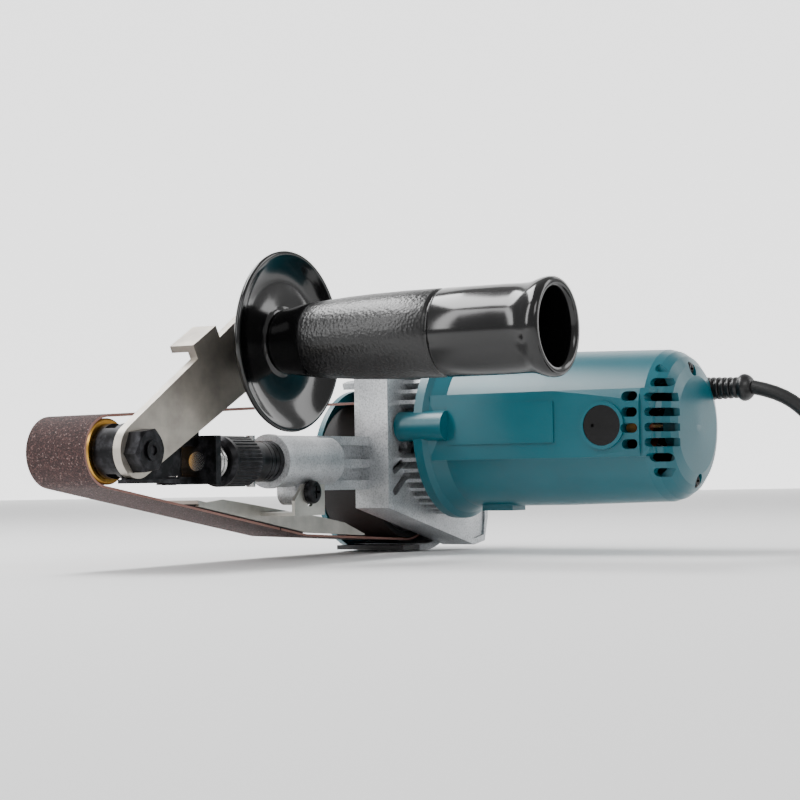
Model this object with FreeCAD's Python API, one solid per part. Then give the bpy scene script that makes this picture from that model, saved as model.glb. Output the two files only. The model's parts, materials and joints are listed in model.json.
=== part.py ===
import FreeCAD, Part
import math
import os

Vector = FreeCAD.Vector

# Handheld belt sander, millimetres.  Working frame: X runs from the idler (-X) to the rear,
# -Y points along the motor and the side grip, +Z is up, and the origin is the drive pulley's
# axis at the middle of the belt.  The finished tool is moved so that it stands on Z = 0.

# ---- belt loop
BELT_WIDTH = 30.0
BELT_LENGTH = 610.0
BELT_THICK = 1.0
BELT_GAP = 0.45          # belt's inner face to each roller and to the shoe
PULLEY_R = 32.9
IDLER_R = 13.2
IDLER_RISE = 8.4         # idler axis above the pulley axis
NOSE_R = 10.0            # shoe's rear bend
NOSE_AHEAD = 88.0        # shoe's rear bend ahead of the pulley axis
NOSE_DROP = 28.2         # shoe's lowest line below the pulley axis

# ---- fits
SLIP = 0.03              # radial running clearance of shafts
SLIDE = 0.05             # radial clearance of the sliding arm
AIR = 0.3                # clearance between separate moving pieces

# ---- side stations (Y)
HALF = BELT_WIDTH / 2.0
ARM_Y = -HALF - 10.65
SPACER_LONG = 8.0
YOKE_THICK = 2.5
BRACKET_THICK = 3.8
NUT_THICK = 6.7
SHAFT_R = 4.0

# ---- arm and tracking gear
ARM_Z = 4.24
ARM_R = 8.8
ARM_BORE_R = 6.0
BOSS_FRONT = -134.0
BOSS_LONG = 44.0
BOSS_WALL = 2.45
ARM_TRAVEL = 8.0
KNOB_R = 10.7
KNOB_LONG = 21.0
STUD_R = 4.0
HEAD_THICK = 3.5
PIN_R = 2.0

# ---- handle
GRIP_BACK = 80.7         # grip axis behind the idler's
GRIP_Z = 54.4
GRIP_R = 18.0
GRIP_END_R = 19.9
GRIP_HOLE_R = 15.5
GUARD_R = 38.3
GUARD_Y = -HALF - 26.0
GRIP_START = GUARD_Y - 4.0
GRIP_LONG = 128.9
GRIP_END = GRIP_START - GRIP_LONG

# ---- gear housing
PAN_LEFT = -58.0
PAN_RIGHT = 36.5
PAN_BACK = -HALF - 7.0
PAN_DEEP = 18.0
PAN_RIM = PAN_BACK - PAN_DEEP
PAN_WALL = 3.0
SHROUD_X = 4.0
SHROUD_Z = 3.0
SHROUD_R = 42.4
SHROUD_WALL = 3.2
SHROUD_END = HALF + 1.0
COVER_THICK = 3.0

# ---- motor
MOTOR_X = -8.5
MOTOR_Z = 18.0
RIM_R = 41.3
RIM_Y = PAN_RIM - 8.6
BODY_R = 35.8
BODY_REAR_R = 34.3
FLAT_END_R = 38.2
BODY_LONG = 111.9
SEAM_Y = RIM_Y - BODY_LONG
REAR_Y = SEAM_Y - 12.7
SHELL = 2.6
PINION_TEETH = 14
GEAR_TEETH = 42
BRUSH_Y = SEAM_Y + 17.5
CAP_R = 9.0

# ---- cord
CORD_R = 3.25
CORD_X = 15.0
CORD_Z = 35.0
GUARD_TIP = SEAM_Y - 29.5
COIL_OUT_R = 47.2        # centre line of the outermost turn
COIL_PITCH = 6.6
COIL_LAYERS = 4
COIL_TURNS = 9.16
COIL_AT = (-60.66, -102.5)   # coil centre from the guard's mouth
TIE_THICK = 1.0
TIE_ANGLE = 95.0
CORD_LEAD = [(0, 0, 0), (0, -12, -2.5), (0, -25, -11.5), (-0.3, -35, -25), (-0.8, -43.5, -42),
             (-2, -55.5, -58), (-4.5, -75.5, -68), (-9.5, -97, -71), (-15.6, -116.55, -70.9)]
CORD_TAIL = [(-48.44, -148.09, -50.25), (-61.96, -151.72, -50.5), (-76.7, -154.45, -53.2),
             (-91.6, -155.78, -58.6), (-106.6, -155.78, -63.9), (-119.55, -154.68, -66.4)]
PLUG_TAIL = 26.0
PLUG_LONG = 36.0
PLUG_WIDE = 32.0
PLUG_THICK = 16.0
PLUG_PIN_R = 2.4
PLUG_PIN_LONG = 19.0
PLUG_PIN_GAP = 19.0

UP = Vector(0, 0, 1)
ALONG_X = Vector(1, 0, 0)
ALONG_Y = Vector(0, 1, 0)


# ---- small helpers
def box(x0, x1, y0, y1, z0, z1):
    return Part.makeBox(x1 - x0, y1 - y0, z1 - z0, Vector(x0, y0, z0))


def rod_y(x, z, r, y0, y1):
    return Part.makeCylinder(r, y1 - y0, Vector(x, y0, z), ALONG_Y)


def rod_x(y, z, r, x0, x1):
    return Part.makeCylinder(r, x1 - x0, Vector(x0, y, z), ALONG_X)


def rod_z(x, y, r, z0, z1):
    return Part.makeCylinder(r, z1 - z0, Vector(x, y, z0), UP)


def ring_y(x, z, r_in, r_out, y0, y1):
    return rod_y(x, z, r_out, y0, y1).cut(rod_y(x, z, r_in, y0 - 1, y1 + 1))


def fuse(first, *others):
    return first.fuse(list(others)).removeSplitter()


def cut(solid, *tools):
    return solid.cut(list(tools))


def group(shapes):
    return Part.makeCompound(shapes)


def at(x, y, z):
    return Vector(x, y, z)


def outline(points, y0, y1):
    """A prism along Y over a closed XZ polygon."""
    corners = [at(x, y0, z) for x, z in points]
    wire = Part.makePolygon(corners + [corners[0]])
    return Part.Face(wire).extrude(Vector(0, y1 - y0, 0))


def turned_y(x, z, profile):
    """A solid turned about the line parallel to Y at (x, z); profile is (radius, y)."""
    corners = [at(x + r, y, z) for r, y in profile]
    face = Part.Face(Part.makePolygon(corners + [corners[0]]))
    return face.revolve(at(x, 0, z), ALONG_Y, 360)


def polar(x, z, r, degrees):
    a = math.radians(degrees)
    return x + r * math.cos(a), z + r * math.sin(a)


def bearing(x, z, r_in, r_out, y0, y1):
    """A ball bearing as one solid with a groove between its rings on both faces."""
    lip = (r_out - r_in) * 0.28
    body = ring_y(x, z, r_in, r_out, y0, y1)
    groove = ring_y(x, z, r_in + lip, r_out - lip, y0 - 1, y0 + 0.4)
    other = ring_y(x, z, r_in + lip, r_out - lip, y1 - 0.4, y1 + 1)
    return cut(body, groove, other)


def screw_y(x, z, r, y_head, y_tip, head_r, head_long):
    """A pan-head screw whose head stands on the -Y side of y_head."""
    head = rod_y(x, z, head_r, y_head - head_long, y_head)
    cross = fuse(box(x - head_r * 0.55, x + head_r * 0.55, y_head - head_long - 1,
                     y_head - head_long + 1.2, z - 0.5, z + 0.5),
                 box(x - 0.5, x + 0.5, y_head - head_long - 1,
                     y_head - head_long + 1.2, z - head_r * 0.55, z + head_r * 0.55))
    edge = head.Edges[0] if head.Edges[0].BoundBox.YMin < y_head - head_long + 0.1 else head.Edges[2]
    head = head.makeFillet(min(head_long, head_r) * 0.45, [edge])
    return fuse(cut(head, cross), rod_y(x, z, r, y_head, y_tip))


def coil_x(y, z, mean_r, wire_r, x0, x1, turns):
    """A helical spring along X."""
    helix = Part.makeHelix((x1 - x0 - 2 * wire_r) / turns, x1 - x0 - 2 * wire_r, mean_r)
    start = Part.Wire(Part.makeCircle(wire_r, Vector(mean_r, 0, 0), Vector(0, 1, 0)))
    spring = Part.Wire(helix.Edges).makePipeShell([start], True, False)
    spring.rotate(Vector(0, 0, 0), ALONG_Y, 90)
    spring.translate(at(x0 + wire_r, y, z))
    return spring


# ---- the belt's path round the pulley, the idler and the shoe's bend
def tangent_angle(a, b):
    """Direction of the outward normal of the straight run from circle a to circle b."""
    dx, dz = b[0] - a[0], b[1] - a[1]
    return math.atan2(dz, dx) - math.acos((a[2] - b[2]) / math.hypot(dx, dz))


def loop_circles(reach, extra):
    return [(0.0, 0.0, PULLEY_R + extra),
            (-reach, IDLER_RISE, IDLER_R + extra),
            (-NOSE_AHEAD, -NOSE_DROP + NOSE_R, NOSE_R + extra)]


def loop_angles(circles):
    count = len(circles)
    leave = [tangent_angle(circles[i], circles[(i + 1) % count]) for i in range(count)]
    spans = []
    for i in range(count):
        start = leave[i - 1]
        end = leave[i]
        while end < start:
            end += 2 * math.pi
        spans.append((start, end))
    return spans


def spot(circle, angle, y):
    return at(circle[0] + circle[2] * math.cos(angle), y, circle[1] + circle[2] * math.sin(angle))


def loop_wire(reach, extra, y):
    circles = loop_circles(reach, extra)
    spans = loop_angles(circles)
    edges = []
    for i, circle in enumerate(circles):
        start, end = spans[i]
        first = spot(circle, start, y)
        last = spot(circle, end, y)
        edges.append(Part.Arc(first, spot(circle, (start + end) / 2, y), last).toShape())
        follower = (i + 1) % len(circles)
        landing = spot(circles[follower], spans[follower][0], y)
        edges.append(Part.LineSegment(last, landing).toShape())
    return Part.Wire(edges)


def solve_reach():
    """Idler axis ahead of the pulley axis, so that the loop has the belt's length."""
    short, long = NOSE_AHEAD + 3 * IDLER_R, BELT_LENGTH / 2
    for _ in range(40):
        reach = (short + long) / 2
        if loop_wire(reach, BELT_GAP + BELT_THICK / 2, 0).Length > BELT_LENGTH:
            long = reach
        else:
            short = reach
    return reach


REACH = solve_reach()
IDLER_X = -REACH
GRIP_X = IDLER_X + GRIP_BACK
SPACER_Y = -HALF - 0.6 - SPACER_LONG          # far faces of the stack on the idler's shaft
YOKE_Y = SPACER_Y - YOKE_THICK
BRACKET_Y = YOKE_Y - BRACKET_THICK
NUT_Y = BRACKET_Y - NUT_THICK
PIVOT_X = IDLER_X + 31.5
PIVOT_Y = -HALF - 5.5
HEAD_X = IDLER_X + 43.4                       # front face of the arm's head plate
FLOOR = SHROUD_Z - SHROUD_R                   # lowest line of the tool


def sanding_belt():
    outer = Part.Face(loop_wire(REACH, BELT_GAP + BELT_THICK, -HALF))
    inner = Part.Face(loop_wire(REACH, BELT_GAP, -HALF))
    return outer.cut(inner).extrude(Vector(0, BELT_WIDTH, 0))


# ---- drive pulley, spindle and gears
SPINDLE_R = 4.0
TYRE_THICK = 3.0
GEAR_Y0, GEAR_Y1 = PAN_BACK - 10.5, PAN_BACK - 4.0
FRONT_BEARING = (PAN_BACK - 2.5, PAN_BACK + 4.5, 11.0)   # y0, y1, outer radius
REAR_BEARING = (PAN_RIM + 1.5, PAN_RIM + 5.5, 8.0)


def drive_pulley():
    r = PULLEY_R - TYRE_THICK
    hub = rod_y(0, 0, r, -HALF, HALF)
    dish = ring_y(0, 0, 10, r - 3, -HALF - 1, -3)
    far_dish = ring_y(0, 0, 10, r - 3, 3, HALF + 1)
    holes = [rod_y(*polar(0, 0, 18, 60 * k), 4, -5, 5) for k in range(6)]
    screw_seat = rod_y(0, 0, 7.5, HALF - 4, HALF + 1)
    return cut(hub, dish, far_dish, screw_seat, rod_y(0, 0, SPINDLE_R - SLIP, -HALF - 1, HALF + 1), *holes)


def pulley_tyre():
    tyre = ring_y(0, 0, PULLEY_R - TYRE_THICK, PULLEY_R, -HALF, HALF)
    return tyre


def pulley_screw():
    washer = rod_y(0, 0, 7.0, HALF - 4, HALF - 2.8)
    head = rod_y(0, 0, 4.5, HALF - 2.8, HALF - 0.2)
    socket = rod_y(0, 0, 2.2, HALF - 1.8, HALF)
    return cut(fuse(washer, head), socket)


def drive_spindle():
    shaft = rod_y(0, 0, SPINDLE_R - SLIP, REAR_BEARING[0], HALF - 4)
    collar = rod_y(0, 0, 6.0, FRONT_BEARING[1] + 0.2, -HALF)
    return fuse(shaft, collar)


def spindle_bearings():
    return group([bearing(0, 0, SPINDLE_R, b[2], b[0], b[1]) for b in (FRONT_BEARING, REAR_BEARING)])


GEAR_DISTANCE = math.hypot(MOTOR_X, MOTOR_Z)
MODULE = 2 * GEAR_DISTANCE / (PINION_TEETH + GEAR_TEETH)
MESH_ANGLE = math.degrees(math.atan2(MOTOR_Z, MOTOR_X))
PRESSURE = math.radians(20)
BACKLASH = 0.10


def tooth_half_angle(pitch_r, r, teeth):
    """Half the angle of a tooth at radius r, for involute flanks with backlash."""
    base_r = pitch_r * math.cos(PRESSURE)
    involute = math.tan(PRESSURE) - PRESSURE
    at_r = math.acos(min(1.0, base_r / r)) if r > base_r else 0.0
    half = math.pi / (2 * teeth) - BACKLASH / (2 * pitch_r)
    return half + involute - (math.tan(at_r) - at_r)


def spur_gear(x, z, teeth, first_tooth, y0, y1):
    pitch_r = MODULE * teeth / 2
    root_r = pitch_r - 1.15 * MODULE
    tip_r = pitch_r + 0.9 * MODULE
    steps = 4
    radii = [root_r + (tip_r - root_r) * k / steps for k in range(steps + 1)]
    points = []
    for k in range(teeth):
        centre = math.radians(first_tooth) + 2 * math.pi * k / teeth
        for r in radii:
            a = centre - tooth_half_angle(pitch_r, r, teeth)
            points.append((x + r * math.cos(a), z + r * math.sin(a)))
        for r in reversed(radii):
            a = centre + tooth_half_angle(pitch_r, r, teeth)
            points.append((x + r * math.cos(a), z + r * math.sin(a)))
    return outline(points, y0, y1)


def drive_gear():
    gear = spur_gear(0, 0, GEAR_TEETH, MESH_ANGLE, GEAR_Y0, GEAR_Y1)
    rim_r = MODULE * GEAR_TEETH / 2 - 3.2
    web = ring_y(0, 0, 7, rim_r, GEAR_Y0 - 1, GEAR_Y0 + 1.6)
    far_web = ring_y(0, 0, 7, rim_r, GEAR_Y1 - 1.6, GEAR_Y1 + 1)
    return cut(gear, web, far_web, rod_y(0, 0, SPINDLE_R - SLIP, GEAR_Y0 - 1, GEAR_Y1 + 1))


# ---- motor
SHAFT_REAR = SEAM_Y - 7.5
MOTOR_FRONT_BEARING = (PAN_RIM - 6.0, PAN_RIM - 0.5)
MOTOR_REAR_BEARING = (SEAM_Y - 6.5, SEAM_Y - 0.5)
MOTOR_BEARING_R = 9.5
CORE_Y0, CORE_Y1 = RIM_Y - 66.4, RIM_Y - 26.4
FIELD_R = 30.0
ARMATURE_R = 17.0
COMMUTATOR_Y0, COMMUTATOR_Y1 = BRUSH_Y - 7.0, BRUSH_Y + 7.0
COMMUTATOR_R = 10.0


def armature_shaft():
    pinion_gap = MESH_ANGLE + 180 + 180.0 / PINION_TEETH
    pinion = spur_gear(MOTOR_X, MOTOR_Z, PINION_TEETH, pinion_gap, GEAR_Y0 - 0.5, GEAR_Y1 + 0.5)
    shaft = rod_y(MOTOR_X, MOTOR_Z, SHAFT_R - SLIP, SHAFT_REAR, GEAR_Y0 - 0.5)
    return fuse(pinion, shaft)


def armature_core():
    core = ring_y(MOTOR_X, MOTOR_Z, SHAFT_R - SLIP, ARMATURE_R, CORE_Y0 + 1, CORE_Y1 - 1)
    slots = []
    for k in range(12):
        slot = box(ARMATURE_R - 4.5, ARMATURE_R + 1, CORE_Y0, CORE_Y1, -0.9, 0.9)
        slot.rotate(Vector(0, 0, 0), ALONG_Y, 30 * k)
        slot.translate(at(MOTOR_X, 0, MOTOR_Z))
        slots.append(slot)
    return cut(core, *slots)


def armature_windings():
    front = ring_y(MOTOR_X, MOTOR_Z, SHAFT_R - SLIP, 14.5, CORE_Y1 - 1, CORE_Y1 + 8)
    rear = ring_y(MOTOR_X, MOTOR_Z, SHAFT_R - SLIP, 14.5, COMMUTATOR_Y1 + 3, CORE_Y0 + 1)
    front = front.makeFillet(3.0, [front.Edges[0]])
    return group([front, rear])


def commutator():
    drum = ring_y(MOTOR_X, MOTOR_Z, SHAFT_R - SLIP, COMMUTATOR_R, COMMUTATOR_Y0, COMMUTATOR_Y1)
    riser = ring_y(MOTOR_X, MOTOR_Z, SHAFT_R - SLIP, COMMUTATOR_R + 2, COMMUTATOR_Y1, COMMUTATOR_Y1 + 3)
    return fuse(drum, riser)


def cooling_fan():
    y0, y1 = RIM_Y - 15.4, RIM_Y - 4.4
    hub = ring_y(MOTOR_X, MOTOR_Z, SHAFT_R - SLIP, 9, y0, y1)
    disc = ring_y(MOTOR_X, MOTOR_Z, 8, 27, y0, y0 + 1.6)
    blades = []
    for k in range(11):
        blade = box(8, 26.5, y0 + 1, y1 - 1.5, -0.8, 0.8)
        blade.rotate(Vector(8, 0, 0), ALONG_Y, 18)
        blade.rotate(Vector(0, 0, 0), ALONG_Y, 360.0 * k / 11)
        blade.translate(at(MOTOR_X, 0, MOTOR_Z))
        blades.append(blade)
    return fuse(hub, disc, *blades)


def motor_bearings():
    return group([bearing(MOTOR_X, MOTOR_Z, SHAFT_R, MOTOR_BEARING_R, y0, y1)
                  for y0, y1 in (MOTOR_FRONT_BEARING, MOTOR_REAR_BEARING)])


def field_core():
    core = ring_y(MOTOR_X, MOTOR_Z, ARMATURE_R + 0.6, FIELD_R, CORE_Y0, CORE_Y1)
    windows = [box(MOTOR_X - 9, MOTOR_X + 9, CORE_Y0 - 1, CORE_Y1 + 1, MOTOR_Z + ARMATURE_R, MOTOR_Z + 24),
               box(MOTOR_X - 9, MOTOR_X + 9, CORE_Y0 - 1, CORE_Y1 + 1, MOTOR_Z - 24, MOTOR_Z - ARMATURE_R)]
    return cut(core, *windows)


def field_coils():
    coils = []
    for low, high in ((MOTOR_Z + ARMATURE_R + 0.8, MOTOR_Z + 23.5), (MOTOR_Z - 23.5, MOTOR_Z - ARMATURE_R - 0.8)):
        coils.append(box(MOTOR_X - 8.6, MOTOR_X + 8.6, CORE_Y0 - 7, CORE_Y1 + 7, low, high))
    return group(coils)


BODY_FLAT = 36.8          # side flats from the motor's axis
FLAT_HALF = 15.0
BOSSES = ((-46.0, 20.0), (29.0, 16.0))
BOSS_R = 6.9
BOSS_REAR = PAN_RIM - 24.8
SWITCH_Z = 26.0
SWITCH_Y = RIM_Y - 45.0
SWITCH_TRAVEL = 8.0


def vent_rows():
    return [MOTOR_Z + 7.0 * (k - 1.5) + 2 for k in range(4)]


def slot_side(y0, y1, z, height, side):
    """A vent slot through one side wall, round ended."""
    x0, x1 = (MOTOR_X - 60, MOTOR_X - 20) if side < 0 else (MOTOR_X + 20, MOTOR_X + 60)
    r = height / 2
    return fuse(box(x0, x1, y0 + r, y1 - r, z - r, z + r), rod_x(y0 + r, z, r, x0, x1), rod_x(y1 - r, z, r, x0, x1))


def motor_housing():
    outside = turned_y(MOTOR_X, MOTOR_Z, [(0, RIM_Y), (RIM_R, RIM_Y), (RIM_R, RIM_Y - 4.5), (RIM_R - 2.5, RIM_Y - 6.5),
                                          (BODY_R, RIM_Y - 13), (BODY_R - 0.3, RIM_Y - 61.4), (BODY_REAR_R, SEAM_Y), (0, SEAM_Y)])
    flats = box(MOTOR_X - BODY_FLAT, MOTOR_X + BODY_FLAT, SEAM_Y, RIM_Y - 7, MOTOR_Z + 1 - FLAT_HALF, MOTOR_Z + 1 + FLAT_HALF)
    taper = turned_y(MOTOR_X, MOTOR_Z, [(0, RIM_Y), (46, RIM_Y), (42.5, RIM_Y - 11.4), (40.5, RIM_Y - 61.4), (FLAT_END_R, SEAM_Y), (0, SEAM_Y)])
    plate = box(MOTOR_X - BODY_FLAT - 0.7, MOTOR_X, RIM_Y - 70.4, BOSS_REAR + 0.3, MOTOR_Z - 7, MOTOR_Z + 11.5)
    lug = box(-16, -3, RIM_Y - 33.4, RIM_Y - 17.4, MOTOR_Z - BODY_R - 2, MOTOR_Z - 30)
    posts = [rod_y(x, z, BOSS_R, BOSS_REAR, PAN_RIM) for x, z in BOSSES]
    cap_pad = rod_x(BRUSH_Y, MOTOR_Z, CAP_R + 1.6, MOTOR_X - BODY_FLAT - 1.2, MOTOR_X + BODY_FLAT + 1.2)
    body = fuse(outside, flats.common(taper), plate, lug, *posts)
    body = fuse(body, cap_pad)
    cavity = turned_y(MOTOR_X, MOTOR_Z, [(0, RIM_Y + 1), (BODY_R - SHELL, RIM_Y + 1), (BODY_R - SHELL, RIM_Y - 61.4),
                                         (BODY_REAR_R - SHELL, SEAM_Y - 1), (0, SEAM_Y - 1)])
    cap_bore = rod_x(BRUSH_Y, MOTOR_Z, CAP_R, MOTOR_X - 60, MOTOR_X + 60)
    slots = [slot_side(SEAM_Y + 0.8, SEAM_Y + 8.3, z, 4.2, -1) for z in vent_rows()]
    holes = [rod_y(x, z, 2.6, BOSS_REAR + 5, PAN_RIM + 1) for x, z in BOSSES]
    track = box(MOTOR_X + 20, MOTOR_X + 60, SWITCH_Y - 3.6 - SWITCH_TRAVEL, SWITCH_Y + 3.6, SWITCH_Z - 3.4, SWITCH_Z + 3.4)
    dial_hole = rod_x(DIAL_Y, MOTOR_Z, 3.2, MOTOR_X + 20, MOTOR_X + 60)
    body = cut(body, cavity, cap_bore, track, dial_hole, *(slots + holes))
    anchors = [rod_y(*polar(MOTOR_X, MOTOR_Z, REAR_SCREW_R, a), 7.0, SEAM_Y, SEAM_Y + 12).cut(
        rod_y(*polar(MOTOR_X, MOTOR_Z, REAR_SCREW_R, a), 1.6, SEAM_Y - 1, SEAM_Y + 13)) for a in REAR_SCREWS]
    return fuse(body, *anchors)


REAR_SCREW_R = 25.2
REAR_SCREWS = (95, 275)
REAR_SCREW_HEAD = SEAM_Y - 8.5


def dome(inset):
    """Profile of the rear cover, moved inwards by inset."""
    outside = ((BODY_REAR_R, SEAM_Y), (33.2, SEAM_Y - 4), (30.8, SEAM_Y - 7.7), (27, SEAM_Y - 10.5), (22, SEAM_Y - 12.1))
    return [(r - inset, y + inset * 0.9) for r, y in outside] + [(0, REAR_Y + inset)]


def rear_cover():
    flats = box(MOTOR_X - 35.6, MOTOR_X + 35.6, SEAM_Y - 5.5, SEAM_Y, MOTOR_Z + 1 - FLAT_HALF, MOTOR_Z + 1 + FLAT_HALF)
    round_flats = turned_y(MOTOR_X, MOTOR_Z, [(0, SEAM_Y), (FLAT_END_R, SEAM_Y), (FLAT_END_R - 1, SEAM_Y - 4),
                                              (FLAT_END_R - 3, SEAM_Y - 6), (0, SEAM_Y - 6)])
    outside = fuse(turned_y(MOTOR_X, MOTOR_Z, [(0, SEAM_Y)] + dome(0)), flats.common(round_flats))
    inside = turned_y(MOTOR_X, MOTOR_Z, [(0, SEAM_Y + 1), (BODY_REAR_R - SHELL, SEAM_Y + 1)] + dome(SHELL))
    slots = []
    for side in (-1, 1):
        for k in range(8):
            z = MOTOR_Z + 2 + 6.6 * (k - 3.5)
            inset = 0 if k in (2, 3, 4, 5) else 2.5
            if side < 0 or k in (1, 6):
                slots.append(slot_side(SEAM_Y - 13 + inset, SEAM_Y - 2, z, 3.8, side))
    hub = rod_y(MOTOR_X, MOTOR_Z, MOTOR_BEARING_R + 2.5, REAR_Y + 0.5, SEAM_Y - 0.5)
    pocket = rod_y(MOTOR_X, MOTOR_Z, MOTOR_BEARING_R, MOTOR_REAR_BEARING[0], SEAM_Y + 1)
    relief = rod_y(MOTOR_X, MOTOR_Z, SHAFT_R + 1, MOTOR_REAR_BEARING[0] - 2, SEAM_Y + 1)
    spokes = [box(MOTOR_X - 1.2, MOTOR_X + 1.2, REAR_Y + 0.5, SEAM_Y - 3, MOTOR_Z + 8, MOTOR_Z + 31),
              box(MOTOR_X - 1.2, MOTOR_X + 1.2, REAR_Y + 0.5, SEAM_Y - 3, MOTOR_Z - 31, MOTOR_Z - 8)]
    body = cut(outside, inside, *slots)
    spokes = [s.common(outside) for s in spokes]
    columns = [rod_y(*polar(MOTOR_X, MOTOR_Z, REAR_SCREW_R, a), 6.5, REAR_Y, SEAM_Y).common(outside) for a in REAR_SCREWS]
    body = fuse(body, hub, *(spokes + columns))
    drills = [rod_y(*polar(MOTOR_X, MOTOR_Z, REAR_SCREW_R, a), 1.9, REAR_Y - 5, SEAM_Y + 1) for a in REAR_SCREWS]
    seats = [rod_y(*polar(MOTOR_X, MOTOR_Z, REAR_SCREW_R, a), 3.2, REAR_Y - 5, REAR_SCREW_HEAD) for a in REAR_SCREWS]
    cord_hole = rod_y(CORD_X, CORD_Z, SLEEVE_R, REAR_Y - 5, SLEEVE_START + 0.2)
    return cut(body, pocket, relief, cord_hole, *(drills + seats))


SLEEVE_R = 5.4
SLEEVE_START = SEAM_Y - 1.5
DIAL_Y = BRUSH_Y + 18.0
DIAL_R = 6.0


def housing_screws():
    made = []
    for x, z in BOSSES:
        screw = screw_y(0, 0, 2.5, 0, PAN_BACK - BOSS_REAR - 8, 4.2, 3.0)
        screw.rotate(Vector(0, 0, 0), UP, 180)
        screw.translate(at(x, PAN_BACK, z))
        made.append(screw)
    return group(made)


def rear_screws():
    return group([screw_y(*polar(MOTOR_X, MOTOR_Z, REAR_SCREW_R, a), 1.55, REAR_SCREW_HEAD, SEAM_Y + 9, 2.9, 2.2)
                  for a in REAR_SCREWS])


def each_side(make):
    return group([make(-1), make(1)])


def span_x(side, near, far):
    """X range between two distances from the motor's axis, on one side."""
    low, high = MOTOR_X + side * near, MOTOR_X + side * far
    return min(low, high), max(low, high)


def brush_holders():
    def one(side):
        x0, x1 = span_x(side, COMMUTATOR_R + 1.2, 33.0)
        body = box(x0, x1, BRUSH_Y - 5.4, BRUSH_Y + 5.4, MOTOR_Z - 4.6, MOTOR_Z + 4.6)
        return cut(body, box(x0 - 1, x1 + 1, BRUSH_Y - 4, BRUSH_Y + 4, MOTOR_Z - 3.2, MOTOR_Z + 3.2))
    return each_side(one)


def carbon_brushes():
    def one(side):
        x0, x1 = span_x(side, COMMUTATOR_R + 0.3, COMMUTATOR_R + 14)
        return box(x0, x1, BRUSH_Y - 3.9, BRUSH_Y + 3.9, MOTOR_Z - 3.1, MOTOR_Z + 3.1)
    return each_side(one)


def brush_springs():
    def one(side):
        x0, x1 = span_x(side, COMMUTATOR_R + 14.2, 33.6)
        return coil_x(BRUSH_Y, MOTOR_Z, 2.2, 0.35, x0, x1, 5)
    return each_side(one)


def brush_caps():
    def one(side):
        x0, x1 = span_x(side, 34.0, BODY_FLAT + 0.8)
        cap = rod_x(BRUSH_Y, MOTOR_Z, CAP_R - 0.1, x0, x1)
        slot_x = x0 if side < 0 else x1
        return cut(cap, box(slot_x - 1.4, slot_x + 1.4, BRUSH_Y - 5.2, BRUSH_Y + 5.2, MOTOR_Z - 0.8, MOTOR_Z + 0.8))
    return each_side(one)


def switch_slider():
    x = MOTOR_X + BODY_FLAT + AIR
    pad = box(x, x + 4.2, SWITCH_Y - 8, SWITCH_Y + 8, SWITCH_Z - 6, SWITCH_Z + 6)
    pad = pad.makeFillet(1.5, [e for e in pad.Edges if e.BoundBox.XMin > x + 4])
    grooves = [rod_z(x + 4.6, SWITCH_Y + 3 * k, 0.8, SWITCH_Z - 7, SWITCH_Z + 7) for k in (-1, 0, 1)]
    neck = box(x - 5.0, x, SWITCH_Y - 3, SWITCH_Y + 3, SWITCH_Z - 3, SWITCH_Z + 3)
    return fuse(cut(pad, *grooves), neck)


def switch_block():
    return box(MOTOR_X + 12, MOTOR_X + 22, SEAM_Y + 1, SEAM_Y + 11.5, MOTOR_Z - 23, MOTOR_Z - 13)


def speed_controller():
    return box(MOTOR_X + 16.5, MOTOR_X + 26, DIAL_Y - 6, DIAL_Y + 6, MOTOR_Z - 9, MOTOR_Z + 9)


def speed_dial():
    x = MOTOR_X + BODY_FLAT + AIR
    knob = rod_x(DIAL_Y, MOTOR_Z, DIAL_R, x, x + 3.4)
    grip = [rod_x(*polar(DIAL_Y, MOTOR_Z, DIAL_R + 0.5, 30 * k), 0.9, x - 1, x + 5) for k in range(12)]
    stem = rod_x(DIAL_Y, MOTOR_Z, 3.0, MOTOR_X + 26 + AIR, x)
    return fuse(cut(knob, *grip), stem)


# ---- gear housing
def pan_outline(inset):
    """The gear housing's rim in XZ, moved inwards by inset."""
    left, right = PAN_LEFT + inset, PAN_RIGHT - inset
    top_r = 44.0 - inset
    low = [(left, -17.5 + inset * 0.8), (22.5, -37.2 + inset), (33 - inset * 0.3, -35.5 + inset), (right, -24)]
    arch = [polar(MOTOR_X, MOTOR_Z, top_r, a) for a in range(0, 121, 10)]
    return low + [(right, MOTOR_Z - 6)] + arch[1:] + [(left, 45 - inset)]


def shroud():
    """Ring wall round the pulley's rear half, from the pan to the belt cover."""
    ring = ring_y(SHROUD_X, SHROUD_Z, SHROUD_R - SHROUD_WALL, SHROUD_R, PAN_BACK, SHROUD_END)
    reach = 2 * SHROUD_R
    start = polar(SHROUD_X, SHROUD_Z, reach, 108)
    end = polar(SHROUD_X, SHROUD_Z, reach, -96)
    mask = outline([(SHROUD_X, SHROUD_Z), start, (-reach, 0), (-reach, -reach), end], PAN_BACK - 1, SHROUD_END + 1)
    ring = cut(ring, mask)
    posts = [rod_y(*spot_on_shroud(a), 3.6, PAN_BACK, SHROUD_END) for a in COVER_SCREWS]
    inside = rod_y(SHROUD_X, SHROUD_Z, SHROUD_R - SHROUD_WALL - 1.2, PAN_BACK - 1, SHROUD_END + 1)
    drills = [rod_y(*spot_on_shroud(a), 1.6, SHROUD_END - 12, SHROUD_END + 1) for a in COVER_SCREWS]
    return cut(fuse(ring, *posts), inside, *drills)


COVER_SCREWS = (76, 20, -38)


def spot_on_shroud(angle):
    return polar(SHROUD_X, SHROUD_Z, SHROUD_R - 0.9, angle)


LUG_X, LUG_Z, LUG_R = -113.0, -9.4, 5.6
LUG_Y0, LUG_Y1 = PAN_BACK - 9.5, PAN_BACK + 2.5
RIBS = ((11.4, 15.5), (1.1, 5.1), (-8.8, -4.5))


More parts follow.
